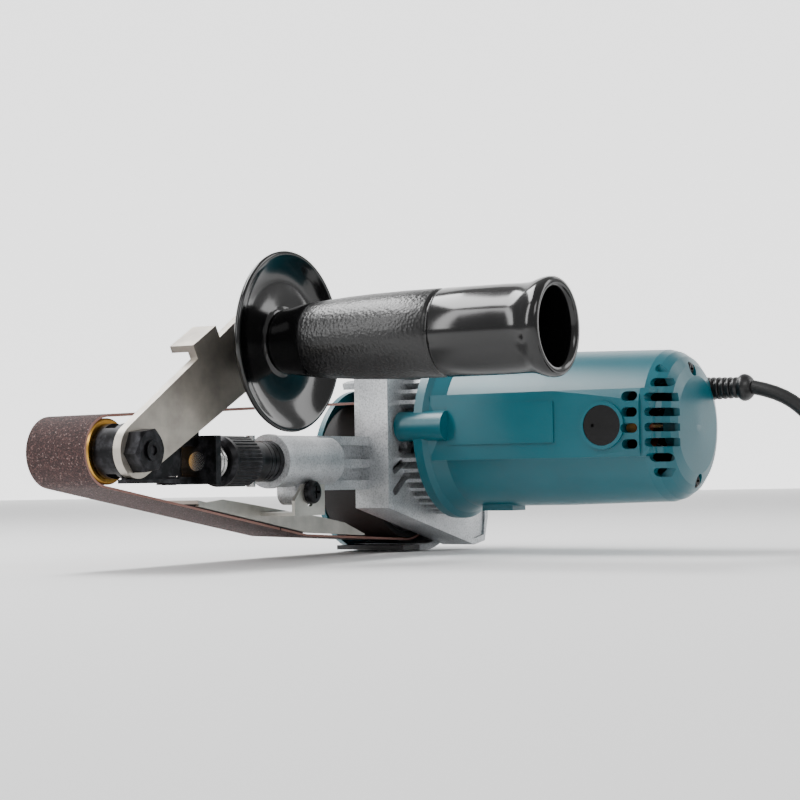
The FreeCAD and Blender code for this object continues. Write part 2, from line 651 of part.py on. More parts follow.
def gear_housing():
    pan = outline(pan_outline(0), PAN_RIM, PAN_BACK)
    hollow = outline(pan_outline(PAN_WALL), PAN_RIM - 1, PAN_BACK - PAN_WALL)
    nest = rod_y(0, 0, FRONT_BEARING[2] + 3, FRONT_BEARING[0] - 0.5, -HALF - 1.5)
    posts = [rod_y(x, z, 5.4, PAN_RIM, PAN_BACK - 1).common(pan) for x, z in BOSSES]
    boss = rod_x(ARM_Y, ARM_Z, ARM_R + SLIDE + BOSS_WALL, BOSS_FRONT, BOSS_FRONT + BOSS_LONG)
    lip = rod_x(ARM_Y, ARM_Z, ARM_R + SLIDE + BOSS_WALL + 0.5, BOSS_FRONT, BOSS_FRONT + 2.5)
    web = box(BOSS_FRONT + BOSS_LONG - 4, PAN_LEFT + 1, PAN_BACK - 3, PAN_BACK + 1.5, RIBS[2][0] + 1, RIBS[0][1] - 1)
    ribs = [box(BOSS_FRONT + BOSS_LONG - 10, PAN_LEFT + 1, PAN_BACK - 7.5, PAN_BACK + 2.5, z0, z1) for z0, z1 in RIBS]
    back_rib = box(PAN_LEFT - 8, PAN_LEFT + 30, PAN_BACK - 3, PAN_BACK + 2.5, RIBS[2][0], RIBS[0][1])
    lug = fuse(rod_y(LUG_X, LUG_Z, LUG_R, LUG_Y0, LUG_Y1),
               box(LUG_X - LUG_R, LUG_X + LUG_R, LUG_Y0 + 2.5, LUG_Y1, LUG_Z, ARM_Z - 4))
    body = fuse(pan, boss, lip, web, back_rib, lug, *ribs)
    body = fuse(cut(body, hollow), nest, shroud(), *posts)
    bore = rod_x(ARM_Y, ARM_Z, ARM_R + SLIDE, BOSS_FRONT - 1, BOSS_FRONT + BOSS_LONG - 1.5)
    pocket = rod_y(0, 0, FRONT_BEARING[2], FRONT_BEARING[0] - 1, FRONT_BEARING[1])
    passage = rod_y(0, 0, 7.0, FRONT_BEARING[0] - 1, 0)
    taps = [rod_y(x, z, 2.5, PAN_RIM - 1, PAN_BACK + 1) for x, z in BOSSES]
    shoe_tap = rod_y(LUG_X, LUG_Z, 2.1, LUG_Y0 - 1, LUG_Y1 - 2)
    return cut(body, bore, pocket, passage, shoe_tap, *taps)


def belt_cover():
    """Far side cover; its front edge is an arc ahead of the pulley."""
    y0, y1 = SHROUD_END, SHROUD_END + COVER_THICK
    front_x, top, low = SHROUD_X + 4, SHROUD_Z + 37.2, FLOOR + 0.2
    arc_front = Part.Arc(at(front_x, y0, low), at(front_x - 39.7, y0, 0.3), at(front_x, y0, top)).toShape()
    rise = SHROUD_Z + math.sqrt(SHROUD_R ** 2 - 16)
    step = Part.LineSegment(at(front_x, y0, top), at(front_x, y0, rise)).toShape()
    arc_rear = Part.Arc(at(front_x, y0, rise), at(SHROUD_X + SHROUD_R, y0, SHROUD_Z), at(front_x, y0, low)).toShape()
    plate = Part.Face(Part.Wire([arc_front, step, arc_rear])).extrude(Vector(0, COVER_THICK, 0))
    ears = [rod_y(*spot_on_shroud(a), 3.6, y0, y1) for a in COVER_SCREWS]
    raised = rod_y(SHROUD_X + 4, SHROUD_Z, 30, y1, y1 + 1.2)
    body = fuse(plate, raised, *ears)
    drills = [rod_y(*spot_on_shroud(a), 1.9, y0 - 1, y1 + 2) for a in COVER_SCREWS]
    return cut(body, *drills)


def cover_screws():
    made = []
    for a in COVER_SCREWS:
        screw = screw_y(0, 0, 1.55, 0, 10, 3.0, 2.0)
        screw.rotate(Vector(0, 0, 0), UP, 180)
        x, z = spot_on_shroud(a)
        screw.translate(at(x, SHROUD_END + COVER_THICK, z))
        made.append(screw)
    return group(made)


def guard_strip():
    """Black strip under the belt where it reaches the pulley."""
    return box(-16, -0.5, PAN_BACK, SHROUD_END, FLOOR + 0.9, FLOOR + 3.0)


VENT_BACK, VENT_FRONT = PAN_RIM + 1.0, PAN_RIM + 5.0
FIN_TIP = RIM_Y + 1.2


def vent_plate():
    plate = outline(pan_outline(PAN_WALL + 0.1), VENT_BACK, VENT_FRONT)
    hub = rod_y(MOTOR_X, MOTOR_Z, MOTOR_BEARING_R + 2.6, MOTOR_FRONT_BEARING[0], VENT_BACK)
    fins = []
    for k in range(45):
        angle = 8.0 * k
        if min(abs(angle - 177), abs(angle - 356), angle + 4) < 16:
            continue
        fin = box(33.0, 39.4, FIN_TIP, VENT_BACK + 0.5, -1.0, 1.0)
        fin.rotate(Vector(0, 0, 0), ALONG_Y, -angle)
        fin.translate(at(MOTOR_X, 0, MOTOR_Z))
        fins.append(fin)
    body = fuse(plate, hub, *fins)
    slots = []
    for angle, start, long in ((188, 33, 10), (200, 33, 16), (212, 34, 18), (224, 34, 14)):
        slot = fuse(box(start - 18, start - 6, VENT_BACK - 1, VENT_FRONT + 1, -1.9, 1.9),
                    rod_y(start - 6, 0, 1.9, VENT_BACK - 1, VENT_FRONT + 1))
        slot.rotate(Vector(0, 0, 0), ALONG_Y, -angle)
        slot.translate(at(MOTOR_X, 0, MOTOR_Z))
        slots.append(slot)
    side_slots = []
    for angle, x, z, long in ((26, -45.5, 2.5, 15), (36, -45.0, -6.0, 17), (18, -43.0, 10.5, 8)):
        slot = box(-long / 2, long / 2, VENT_BACK - 1, VENT_FRONT + 1, -1.9, 1.9)
        slot = slot.makeFillet(1.8, [e for e in slot.Edges if abs(e.Length - 6) < 0.01])
        slot.rotate(Vector(0, 0, 0), ALONG_Y, -angle)
        slot.translate(at(x, 0, z))
        side_slots.append(slot)
    post_gaps = [rod_y(x, z, 5.6, VENT_BACK - 1, VENT_FRONT + 1) for x, z in BOSSES]
    pocket = rod_y(MOTOR_X, MOTOR_Z, MOTOR_BEARING_R, MOTOR_FRONT_BEARING[0] - 1, MOTOR_FRONT_BEARING[1])
    pinion_hole = rod_y(MOTOR_X, MOTOR_Z, 6.6, VENT_BACK - 10, VENT_FRONT + 1)
    spindle_pocket = rod_y(0, 0, REAR_BEARING[2], REAR_BEARING[0], VENT_FRONT + 1)
    return cut(body, pocket, pinion_hole, spindle_pocket, *(side_slots + post_gaps + slots))


# ---- shoe
SHOE_FRONT = -170.0
SHOE_TIP = -39.4
SHEET = 1.6
PAD_THICK = 1.2
FLANGE = [(-168.8, 1.6), (-152.5, 5.8), (-136.0, 6.6), (-101.0, 8.0), (-77.7, 7.8), (-56.6, 5.6), (SHOE_TIP, 0.8)]
TAB_HALF = 11.8
SHELF_Z = -19.6


def sole_point(x, height):
    """Point at this height over the line that the shoe presses the belt along."""
    circles = loop_circles(REACH, 0)
    first, last = loop_angles(circles)[2]
    front = spot(circles[2], first, 0)
    rear = spot(circles[2], last, 0)
    idler = spot(circles[1], first, 0)
    pulley = spot(circles[0], last, 0)
    a, b = (idler, front) if x < -NOSE_AHEAD else (rear, pulley)
    return x, a.z + (b.z - a.z) * (x - a.x) / (b.x - a.x) + height


def strip_over_sole(x0, x1, low, high, y0, y1):
    bend = [-NOSE_AHEAD] if x0 < -NOSE_AHEAD < x1 else []
    stations = [x0] + bend + [x1]
    lower = [sole_point(x, low) for x in stations]
    upper = [sole_point(x, high) for x in reversed(stations)]
    return outline(lower + upper, y0, y1)


def shoe():
    plate = strip_over_sole(SHOE_FRONT, -60, PAD_THICK, PAD_THICK + SHEET, -HALF, HALF)
    top = [sole_point(x, h) for x, h in reversed(FLANGE)]
    low = [sole_point(SHOE_FRONT, 0.2), sole_point(-NOSE_AHEAD, 0.2), sole_point(SHOE_TIP, 0.2)]
    near = outline(low + top, -HALF, -HALF + SHEET)
    far = outline([sole_point(-140, 0.2), sole_point(-NOSE_AHEAD, 0.2), sole_point(-60, 0.2),
                   sole_point(-62, 9.0), sole_point(-93, 11.5), sole_point(-103, 6.0), sole_point(-140, 5.0)],
                  HALF - SHEET, HALF)
    shelf = box(LUG_X - TAB_HALF, LUG_X + TAB_HALF, LUG_Y0 - SHEET - 0.1, -HALF + 1, SHELF_Z, SHELF_Z + SHEET)
    tab = outline([(LUG_X - TAB_HALF, SHELF_Z), (LUG_X + TAB_HALF, SHELF_Z), (LUG_X + TAB_HALF, -6),
                   (LUG_X + 5, LUG_Z + 3.6), (LUG_X - 5, LUG_Z + 3.6), (LUG_X - TAB_HALF, -13)],
                  LUG_Y0 - SHEET - 0.1, LUG_Y0 - 0.1)
    notch = fuse(rod_y(LUG_X, LUG_Z, 2.4, LUG_Y0 - 3, LUG_Y0 + 1),
                 rod_y(LUG_X, LUG_Z - 4, 2.4, LUG_Y0 - 3, LUG_Y0 + 1),
                 box(LUG_X - 2.4, LUG_X + 2.4, LUG_Y0 - 3, LUG_Y0 + 1, LUG_Z - 4, LUG_Z))
    return cut(fuse(plate, near, far, shelf, tab), notch)


def shoe_pad():
    return strip_over_sole(SHOE_FRONT + 1, -NOSE_AHEAD - 1, 0, PAD_THICK, -HALF + SHEET + 0.2, HALF - SHEET - 0.2)


def shoe_screw():
    return screw_y(LUG_X, LUG_Z, 2.05, LUG_Y0 - SHEET - 0.1, LUG_Y1 - 3, 5.1, 3.4)


# ---- idler
IDLER_BEARING_R = 8.0


def idler_roller():
    roller = rod_y(IDLER_X, IDLER_RISE, IDLER_R, -HALF, HALF)
    ends = [e for e in roller.Edges if abs(e.Length - 2 * math.pi * IDLER_R) < 0.01]
    roller = roller.makeChamfer(0.8, ends)
    return cut(roller, rod_y(IDLER_X, IDLER_RISE, 6.5, -HALF - 1, HALF + 1),
               rod_y(IDLER_X, IDLER_RISE, IDLER_BEARING_R, -HALF - 1, -HALF + 6),
               rod_y(IDLER_X, IDLER_RISE, IDLER_BEARING_R, HALF - 6, HALF + 1))


def idler_bearings():
    return group([bearing(IDLER_X, IDLER_RISE, SHAFT_R, IDLER_BEARING_R, -HALF + 0.5, -HALF + 6),
                  bearing(IDLER_X, IDLER_RISE, SHAFT_R, IDLER_BEARING_R, HALF - 6, HALF - 0.5)])


def idler_shaft():
    shaft = rod_y(IDLER_X, IDLER_RISE, SHAFT_R - SLIP, NUT_Y - 1.0, HALF + 0.6)
    head = rod_y(IDLER_X, IDLER_RISE, 6.2, HALF + 0.6, HALF + 2.2)
    dimple = rod_y(IDLER_X, IDLER_RISE, 2.0, NUT_Y - 2.0, NUT_Y - 0.2)
    return cut(fuse(shaft, head), dimple)


def shaft_spacer():
    collar = ring_y(IDLER_X, IDLER_RISE, SHAFT_R - SLIP, 11.0, SPACER_Y, -HALF - 0.6)
    flats = [box(IDLER_X - 20, IDLER_X + 20, SPACER_Y - 1, SPACER_Y + 5, IDLER_RISE + 9, IDLER_RISE + 20),
             box(IDLER_X - 20, IDLER_X + 20, SPACER_Y - 1, SPACER_Y + 5, IDLER_RISE - 20, IDLER_RISE - 9)]
    return cut(collar, *flats)


def idler_nut():
    across = 16.0
    corner_r = across / 2 / math.cos(math.pi / 6)
    hexagon = outline([polar(IDLER_X, IDLER_RISE, corner_r, 60 * k + 8) for k in range(6)], NUT_Y, BRACKET_Y)
    cone = turned_y(IDLER_X, IDLER_RISE, [(0, NUT_Y), (across / 2 - 0.4, NUT_Y), (corner_r + 0.1, NUT_Y + 1.1),
                                          (corner_r + 0.1, BRACKET_Y), (0, BRACKET_Y)])
    return hexagon.common(cone).cut(rod_y(IDLER_X, IDLER_RISE, SHAFT_R - SLIP, NUT_Y - 1, BRACKET_Y + 1))


def idler_yoke():
    """Black plate that carries the idler's shaft and turns on the upright pin."""
    eye = rod_y(IDLER_X, IDLER_RISE, 11.0, YOKE_Y, SPACER_Y)
    arm = box(IDLER_X, PIVOT_X, YOKE_Y, SPACER_Y, -1.7, 10.2)
    barrel = rod_z(PIVOT_X, PIVOT_Y, 5.2, -1.7, 10.2)
    sill = box(IDLER_X - 5, PIVOT_X - 6, BRACKET_Y - 0.5, SPACER_Y, IDLER_RISE - 12.8, IDLER_RISE - 11.2)
    prop = box(IDLER_X - 3, PIVOT_X - 8, YOKE_Y, SPACER_Y, IDLER_RISE - 12.8, IDLER_RISE - 6)
    body = fuse(eye, arm, barrel, sill, prop)
    return cut(body, rod_z(PIVOT_X, PIVOT_Y, 3.0 + SLIP, -10, 20),
               rod_y(IDLER_X, IDLER_RISE, SHAFT_R - SLIP, YOKE_Y - 1, SPACER_Y + 1))


def yoke_pin():
    return fuse(rod_z(PIVOT_X, PIVOT_Y, 3.0, -5.4, 13.9), rod_z(PIVOT_X, PIVOT_Y, 4.4, 13.9, 15.4))


# ---- arm, tracking gear and tension spring
KNOB_FRONT = HEAD_X + HEAD_THICK + 9.2
TUBE_FRONT = KNOB_FRONT + KNOB_LONG + 0.6
TUBE_REAR = BOSS_FRONT + BOSS_LONG - 1.5 - ARM_TRAVEL - 3.0
CROSS_X = TUBE_FRONT + 1.8


def arm_head():
    plate = box(HEAD_X, HEAD_X + HEAD_THICK, PIVOT_Y - 15, PIVOT_Y + 4.9, -5.2, 14.8)
    lobe = box(HEAD_X, HEAD_X + HEAD_THICK, BRACKET_SIDE, PIVOT_Y + 4.9, 10, 17.0)
    upper = box(PIVOT_X - 1, HEAD_X + 1, PIVOT_Y - 5.5, PIVOT_Y + 4.9, 10.5, 13.9)
    lower = box(PIVOT_X - 1, HEAD_X + 1, PIVOT_Y - 5.5, PIVOT_Y + 4.9, -5.2, -2.0)
    round_top = rod_z(PIVOT_X, PIVOT_Y, 5.2, 10.5, 13.9)
    round_low = rod_z(PIVOT_X, PIVOT_Y, 5.2, -5.2, -2.0)
    body = fuse(plate, lobe, upper, lower, round_top, round_low)
    return cut(body, rod_z(PIVOT_X, PIVOT_Y, 3.0, -10, 13.95),
               rod_x(ARM_Y, ARM_Z, STUD_R, HEAD_X - 1, HEAD_X + HEAD_THICK + 1))


BRACKET_SIDE = PIVOT_Y - 3.9


def tracking_stud():
    shank = rod_x(ARM_Y, ARM_Z, STUD_R, HEAD_X, TUBE_FRONT)
    return shank


def tracking_spring():
    return coil_x(ARM_Y, ARM_Z, 6.6, 1.0, HEAD_X + HEAD_THICK + 0.1, KNOB_FRONT - 0.1, 3)


def tracking_knob():
    knob = rod_x(ARM_Y, ARM_Z, KNOB_R, KNOB_FRONT, KNOB_FRONT + KNOB_LONG)
    knob = knob.makeChamfer(1.6, [e for e in knob.Edges if abs(e.Length - 2 * math.pi * KNOB_R) < 0.01])
    grooves = []
    for k in range(36):
        y, z = polar(ARM_Y, ARM_Z, KNOB_R + 0.25, 10 * k)
        grooves.append(rod_x(y, z, 0.7, KNOB_FRONT + 3.5, KNOB_FRONT + KNOB_LONG + 1))
    return cut(knob, rod_x(ARM_Y, ARM_Z, STUD_R + SLIDE, KNOB_FRONT - 1, KNOB_FRONT + KNOB_LONG + 1), *grooves)


def arm_tube():
    tube = rod_x(ARM_Y, ARM_Z, ARM_R, TUBE_FRONT, TUBE_REAR)
    rings = [rod_x(ARM_Y, ARM_Z, ARM_R + 1, x, x + 0.5).cut(rod_x(ARM_Y, ARM_Z, ARM_R - 0.3, x - 1, x + 2))
             for x in (CROSS_X + 5.5, CROSS_X + 8.5, CROSS_X + 11.5)]
    bore = rod_x(ARM_Y, ARM_Z, ARM_BORE_R, SPRING_FRONT, TUBE_REAR + 1)
    return cut(tube, bore, rod_z(CROSS_X + PIN_R, ARM_Y, PIN_R, -20, 30), *rings)


SPRING_FRONT = TUBE_FRONT + 9.0


def cross_pin():
    return rod_z(CROSS_X + PIN_R, ARM_Y, PIN_R, ARM_Z - 11, ARM_Z + 11)


def tension_spring():
    return coil_x(ARM_Y, ARM_Z, 4.6, 0.8, SPRING_FRONT + 0.1, BOSS_FRONT + BOSS_LONG - 1.6, 9)


# ---- handle
BRACKET_R = 11.0
BRACKET_TOP_R = 15.0
HUB_R = 9.0


def handle_bracket():
    """Flat steel bar from the idler's shaft to the handle, with a folded tab."""
    dx, dz = GRIP_X - IDLER_X, GRIP_Z - IDLER_RISE
    long = math.hypot(dx, dz)
    angle = math.degrees(math.atan2(dz, dx))
    low, top = (0, 0, BRACKET_R), (long, 0, BRACKET_TOP_R)
    a = tangent_angle(low, top)
    under = [(r * math.cos(a) + x, r * math.sin(a)) for x, z, r in (low, top)]
    over = [(x, -z) for x, z in reversed(under)]
    bar = fuse(outline(under + over, 0, BRACKET_THICK), rod_y(0, 0, BRACKET_R, 0, BRACKET_THICK),
               rod_y(long, 0, BRACKET_TOP_R, 0, BRACKET_THICK))
    tab = box(long - 40, long - 22, 0, BRACKET_THICK, 8, 19.5)
    fold = box(long - 40, long - 22, 0, 12, 16.5, 19.5)
    bar = fuse(bar, tab, fold)
    bar = cut(bar, rod_y(0, 0, SHAFT_R - SLIP, -1, 10), rod_y(long, 0, 4.0, -1, 20))
    bar.rotate(Vector(0, 0, 0), ALONG_Y, -angle)
    bar.translate(at(IDLER_X, BRACKET_Y, IDLER_RISE))
    return bar


def handle_hub():
    return ring_y(GRIP_X, GRIP_Z, 4.0, HUB_R, GUARD_Y, BRACKET_Y)


def hand_guard():
    y = GUARD_Y
    return turned_y(GRIP_X, GRIP_Z, [(4.1, y), (26, y), (34, y - 2.5), (GUARD_R - 0.8, y - 4.6), (GUARD_R, y - 6),
                                     (GUARD_R - 0.5, y - 7.2), (GUARD_R - 1.8, y - 7.0), (33.4, y - 5.2),
                                     (25.5, y - 2.8), (15, y - 2.8), (13.5, y - 4), (4.1, y - 4)])


def side_grip():
    y = GRIP_START
    outer = [(4.1, y), (13, y), (14.2, y - 6), (15.6, y - 14), (16.4, y - 24), (17.6, y - 45), (GRIP_R, y - 62),
             (GRIP_R, y - 77), (GRIP_R - 0.7, y - 77.6), (GRIP_R - 0.7, y - 79.4), (GRIP_R, y - 80),
             (GRIP_R, y - 108), (GRIP_R - 0.2, y - 116), (GRIP_END_R - 0.8, y - 122), (GRIP_END_R, GRIP_END + 4),
             (GRIP_END_R, GRIP_END + 1.6), (GRIP_END_R - 1.6, GRIP_END), (GRIP_HOLE_R + 1, GRIP_END)]
    inner = [(GRIP_HOLE_R, GRIP_END + 1.2), (GRIP_HOLE_R - 1.5, GRIP_END + 20), (13, GRIP_END + 60), (0.01, GRIP_END + 62)]
    core = [(0.01, -76), (4.1, -76)]
    return turned_y(GRIP_X, GRIP_Z, outer + inner + core)


def grip_stud():
    return fuse(rod_y(GRIP_X, GRIP_Z, 4.0, -75.5, BRACKET_Y + BRACKET_THICK),
                rod_y(GRIP_X, GRIP_Z, 6.5, BRACKET_Y + BRACKET_THICK, BRACKET_Y + BRACKET_THICK + 3.5))


# ---- cord
MOUTH = at(CORD_X, GUARD_TIP, CORD_Z)


def cord_guard():
    collar = GUARD_TIP + 6.5
    body = turned_y(CORD_X, CORD_Z, [(CORD_R, SLEEVE_START), (SLEEVE_R, SLEEVE_START), (SLEEVE_R, GUARD_TIP + 9),
                                     (5.1, collar), (6.1, collar - 1.2), (6.3, collar - 3), (5.8, collar - 5.2),
                                     (4.6, GUARD_TIP), (CORD_R, GUARD_TIP)])
    core = rod_y(CORD_X, CORD_Z, CORD_R, GUARD_TIP, SLEEVE_START)
    return fuse(body, core)


def placed(points):
    return [MOUTH + Vector(*p) for p in points]


def cord_tube(points):
    """Straight runs joined by tangent arcs, swept with the cord's circle."""
    edges = []
    here = points[0]
    for k in range(1, len(points) - 1):
        before = points[k] - points[k - 1]
        after = points[k + 1] - points[k]
        turn = before.getAngle(after)
        short = min(before.Length, after.Length)
        radius = 0.45 * short / math.tan(turn / 2)
        back = Vector(before).normalize()
        ahead = Vector(after).normalize()
        start = points[k] - back * (0.45 * short)
        end = points[k] + ahead * (0.45 * short)
        inward = (ahead - back).normalize()
        middle = points[k] + inward * (radius / math.cos(turn / 2) - radius)
        edges.append(Part.LineSegment(here, start).toShape())
        edges.append(Part.Arc(start, middle, end).toShape())
        here = end
        print("cord turn %.0f deg, radius %.1f mm" % (math.degrees(turn), radius))
    edges.append(Part.LineSegment(here, points[-1]).toShape())
    path = Part.Wire(edges)
    ring = Part.Wire(Part.makeCircle(CORD_R, points[0], points[1] - points[0]))
    tube = path.makePipeShell([ring], True, False)
    print("cord tube %.1f mm, volume over section x length %.4f"
          % (path.Length, tube.Volume / (math.pi * CORD_R ** 2 * path.Length)))
    return tube


def power_cord():
    return group([cord_tube(placed(CORD_LEAD)), cord_tube(placed(CORD_TAIL))])


COIL_RANGE = COIL_PITCH * COIL_TURNS / COIL_LAYERS
COIL_SKIN = CORD_R + 0.2
COIL_TALL = 2 * CORD_R + (COIL_LAYERS - 1) * COIL_PITCH


def coil_centre():
    return MOUTH.x + COIL_AT[0], MOUTH.y + COIL_AT[1]


def cord_coil():
    x, y = coil_centre()
    low = FLOOR + TIE_THICK + 0.1
    high = low + COIL_TALL
    ring = rod_z(x, y, COIL_OUT_R + COIL_SKIN, low, high).cut(
        rod_z(x, y, COIL_OUT_R - COIL_RANGE - COIL_SKIN, low - 1, high + 1))
    return ring.makeFillet(2.5, ring.Edges)


def cord_tie():
    """A strap round the coil's section, on the side away from the cord's ends."""
    x, y = coil_centre()
    low, high = FLOOR, FLOOR + 2 * TIE_THICK + 0.3 + COIL_TALL
    near, far = COIL_OUT_R - COIL_RANGE - COIL_SKIN - 0.8, COIL_OUT_R + COIL_SKIN + 0.1
    loop = Part.makeBox(far - near + 2 * TIE_THICK, 9, high - low, Vector(near - TIE_THICK, -4.5, low))
    loop = loop.cut(Part.makeBox(far - near, 11, high - low - 2 * TIE_THICK, Vector(near, -5.5, low + TIE_THICK)))
    loop.rotate(Vector(0, 0, 0), UP, TIE_ANGLE)
    loop.translate(at(x, y, 0))
    return loop


def along_plug(solid):
    """Move a solid made along +X from the origin to where the cord's tail ends."""
    tail = placed(CORD_TAIL)
    way = tail[-1] - tail[-2]
    solid.rotate(Vector(0, 0, 0), UP, math.degrees(math.atan2(way.y, way.x)))
    solid.translate(tail[-1])
    return solid


def plug_body():
    relief = Part.makeCone(CORD_R + 0.9, 5.6, PLUG_TAIL, Vector(0, 0, 0), ALONG_X)
    half, tall = PLUG_WIDE / 2, PLUG_THICK / 2
    sides = [at(PLUG_TAIL, -9, -tall), at(PLUG_TAIL + 14, -half, -tall), at(PLUG_TAIL + PLUG_LONG, -half, -tall),
             at(PLUG_TAIL + PLUG_LONG, half, -tall), at(PLUG_TAIL + 14, half, -tall), at(PLUG_TAIL, 9, -tall)]
    shell = Part.Face(Part.makePolygon(sides + [sides[0]])).extrude(Vector(0, 0, PLUG_THICK))
    shell = shell.makeFillet(3.5, shell.Edges)
    return along_plug(fuse(shell, relief))


def plug_pins():
    end = PLUG_TAIL + PLUG_LONG
    pins = []
    for side in (-1, 1):
        pin = Part.makeCylinder(PLUG_PIN_R, PLUG_PIN_LONG, at(end, side * PLUG_PIN_GAP / 2, 0), ALONG_X)
        tip = [e for e in pin.Edges if e.BoundBox.XMin > end + PLUG_PIN_LONG - 0.1]
        pins.append(along_plug(pin.makeFillet(1.0, tip)))
    return group(pins)


CORD_PIECES = (power_cord, cord_coil, cord_tie, plug_body, plug_pins)
TOOL_PIECES = (gear_housing, vent_plate, belt_cover, cover_screws, guard_strip, sanding_belt, shoe, shoe_pad,
               shoe_screw, drive_pulley, pulley_tyre, pulley_screw, drive_spindle, spindle_bearings, drive_gear,
               armature_shaft, armature_core, armature_windings, commutator, cooling_fan, motor_bearings,
               field_core, field_coils, motor_housing, rear_cover, housing_screws, rear_screws, brush_holders,
               carbon_brushes, brush_springs, brush_caps, switch_slider, switch_block, speed_controller,
               speed_dial, idler_roller, idler_bearings, idler_shaft, shaft_spacer, idler_nut, idler_yoke,
               yoke_pin, arm_head, tracking_stud, tracking_spring, tracking_knob, arm_tube, cross_pin,
               tension_spring, handle_bracket, handle_hub, hand_guard, side_grip, grip_stud, cord_guard)


def main():
    os.makedirs("parts", exist_ok=True)
    tool = {make.__name__: make() for make in TOOL_PIECES}
    cord = {make.__name__: make() for make in CORD_PIECES}
    span = FreeCAD.BoundBox()
    for shape in tool.values():
        span.add(shape.optimalBoundingBox(False, False))
    to_stand = Vector(-(span.XMin + span.XMax) / 2, -(span.YMin + span.YMax) / 2, -span.ZMin)
    print("idler reach %.3f, moved by %s" % (REACH, to_stand))
    for name, shape in list(tool.items()) + list(cord.items()):
        shape.translate(to_stand)
        shape.exportStep("parts/" + name + ".step")


main()
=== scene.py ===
# %% [markdown]
# A handheld belt sander: a motor lies across the end of a long thin belt arm, and a side grip stands
# out next to it.  The exact shapes come ready made as a frame of solids.  This lesson gives them
# their finishes, and models by hand the pieces whose look needs more than the plain solid.

# %% Load the frame
import json
import math
import bpy
from mathutils import Matrix, Vector

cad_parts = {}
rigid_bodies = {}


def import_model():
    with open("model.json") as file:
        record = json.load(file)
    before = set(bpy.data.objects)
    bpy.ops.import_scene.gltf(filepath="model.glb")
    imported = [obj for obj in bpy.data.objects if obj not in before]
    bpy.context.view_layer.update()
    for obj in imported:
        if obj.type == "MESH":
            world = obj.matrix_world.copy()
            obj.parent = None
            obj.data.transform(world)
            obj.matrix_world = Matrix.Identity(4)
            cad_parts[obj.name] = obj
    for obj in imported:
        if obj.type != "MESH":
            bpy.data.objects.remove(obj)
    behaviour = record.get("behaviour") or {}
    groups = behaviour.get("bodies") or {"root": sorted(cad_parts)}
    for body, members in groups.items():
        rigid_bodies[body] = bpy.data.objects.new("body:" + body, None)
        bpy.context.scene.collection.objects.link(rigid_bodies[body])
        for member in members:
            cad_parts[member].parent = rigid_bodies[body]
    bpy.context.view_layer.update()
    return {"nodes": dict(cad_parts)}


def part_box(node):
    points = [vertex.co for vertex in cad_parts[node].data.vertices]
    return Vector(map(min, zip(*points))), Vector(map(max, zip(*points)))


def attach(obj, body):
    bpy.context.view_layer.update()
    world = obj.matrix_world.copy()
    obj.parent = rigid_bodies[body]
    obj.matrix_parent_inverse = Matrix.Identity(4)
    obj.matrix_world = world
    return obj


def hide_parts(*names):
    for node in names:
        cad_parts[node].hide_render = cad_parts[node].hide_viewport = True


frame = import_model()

MM = 0.001

# %% [markdown]
# The camera looks from the front left, a little under the grip's height, through a long lens, so
# that the arm and the motor are hardly foreshortened.  Its three axes are given as they stand.

# %% Camera
camera_data = bpy.data.cameras.new("camera")
camera_data.lens_unit = "FOV"
camera_data.angle = math.radians(22.37)
camera_data.clip_start = 0.05
camera = bpy.data.objects.new("camera", camera_data)
bpy.context.scene.collection.objects.link(camera)
right = Vector((0.51779, -0.85538, -0.01501))
up = Vector((-0.02506, -0.0327, 0.99915))
back = right.cross(up)
turn = Matrix((right, up, back)).transposed().to_4x4()
camera.matrix_world = Matrix.Translation((-0.75449, -0.44282, 0.03572)) @ turn
bpy.context.scene.camera = camera

# %% [markdown]
# Soft studio light: one wide panel above and behind, placed where the grip and the motor mirror it
# as a long bright band, one strip at the left, two weak fills, and a dim room around.  Black plastic
# is read by its reflections, so the panels are large and few.  A lit white backdrop stands far away.

# %% Lights and floor
def panel(name, place, aim, size, power, colour=(1, 1, 1)):
    """An area light of size (width, height) at place that faces aim."""
    data = bpy.data.lights.new(name, "AREA")
    data.shape = "RECTANGLE"
    data.size, data.size_y = size
    data.energy = power
    data.color = colour
    lamp = bpy.data.objects.new(name, data)
    bpy.context.scene.collection.objects.link(lamp)
    facing = (Vector(place) - Vector(aim)).to_track_quat("Z", "Y").to_matrix().to_4x4()
    lamp.matrix_world = Matrix.Translation(place) @ facing
    return lamp


panel("top_panel", (-0.15, 0.55, 1.0), (0, -0.05, 0.05), (0.9, 0.28), 14)
panel("left_strip", (-0.85, 0.6, 0.55), (0, 0, 0.05), (0.18, 0.8), 4)
panel("front_fill", (-0.8, -1.1, 0.9), (0, 0, 0.05), (0.9, 0.5), 6)
panel("right_strip", (0.75, -0.75, 0.5), (0, -0.1, 0.05), (0.3, 0.8), 3)

room = bpy.data.worlds.new("studio")
bpy.context.scene.world = room
room.use_nodes = True
room.node_tree.nodes["Background"].inputs["Color"].default_value = (1, 1, 1, 1)
room.node_tree.nodes["Background"].inputs["Strength"].default_value = 0.55

bpy.ops.object.select_all(action="DESELECT")
bpy.ops.mesh.primitive_plane_add(size=8, location=(0, 0, -0.0002))
floor = bpy.context.object
floor.name = "studio_floor"
bpy.ops.object.select_all(action="DESELECT")
BACKDROP_PLACE = (3.0, 1.8, 1.6)
BACKDROP_TURN = (math.radians(90), 0, math.radians(-59))
bpy.ops.mesh.primitive_plane_add(size=1, location=BACKDROP_PLACE, rotation=BACKDROP_TURN)
backdrop = bpy.context.object
backdrop.name = "studio_backdrop"
backdrop.scale = (9, 3.4, 1)

# %% [markdown]
# Colours are written as sRGB hex values, as on a paint card, and turned linear in one place.  Node
# trees are written with one helper that adds a node, sets its values and links what feeds it.

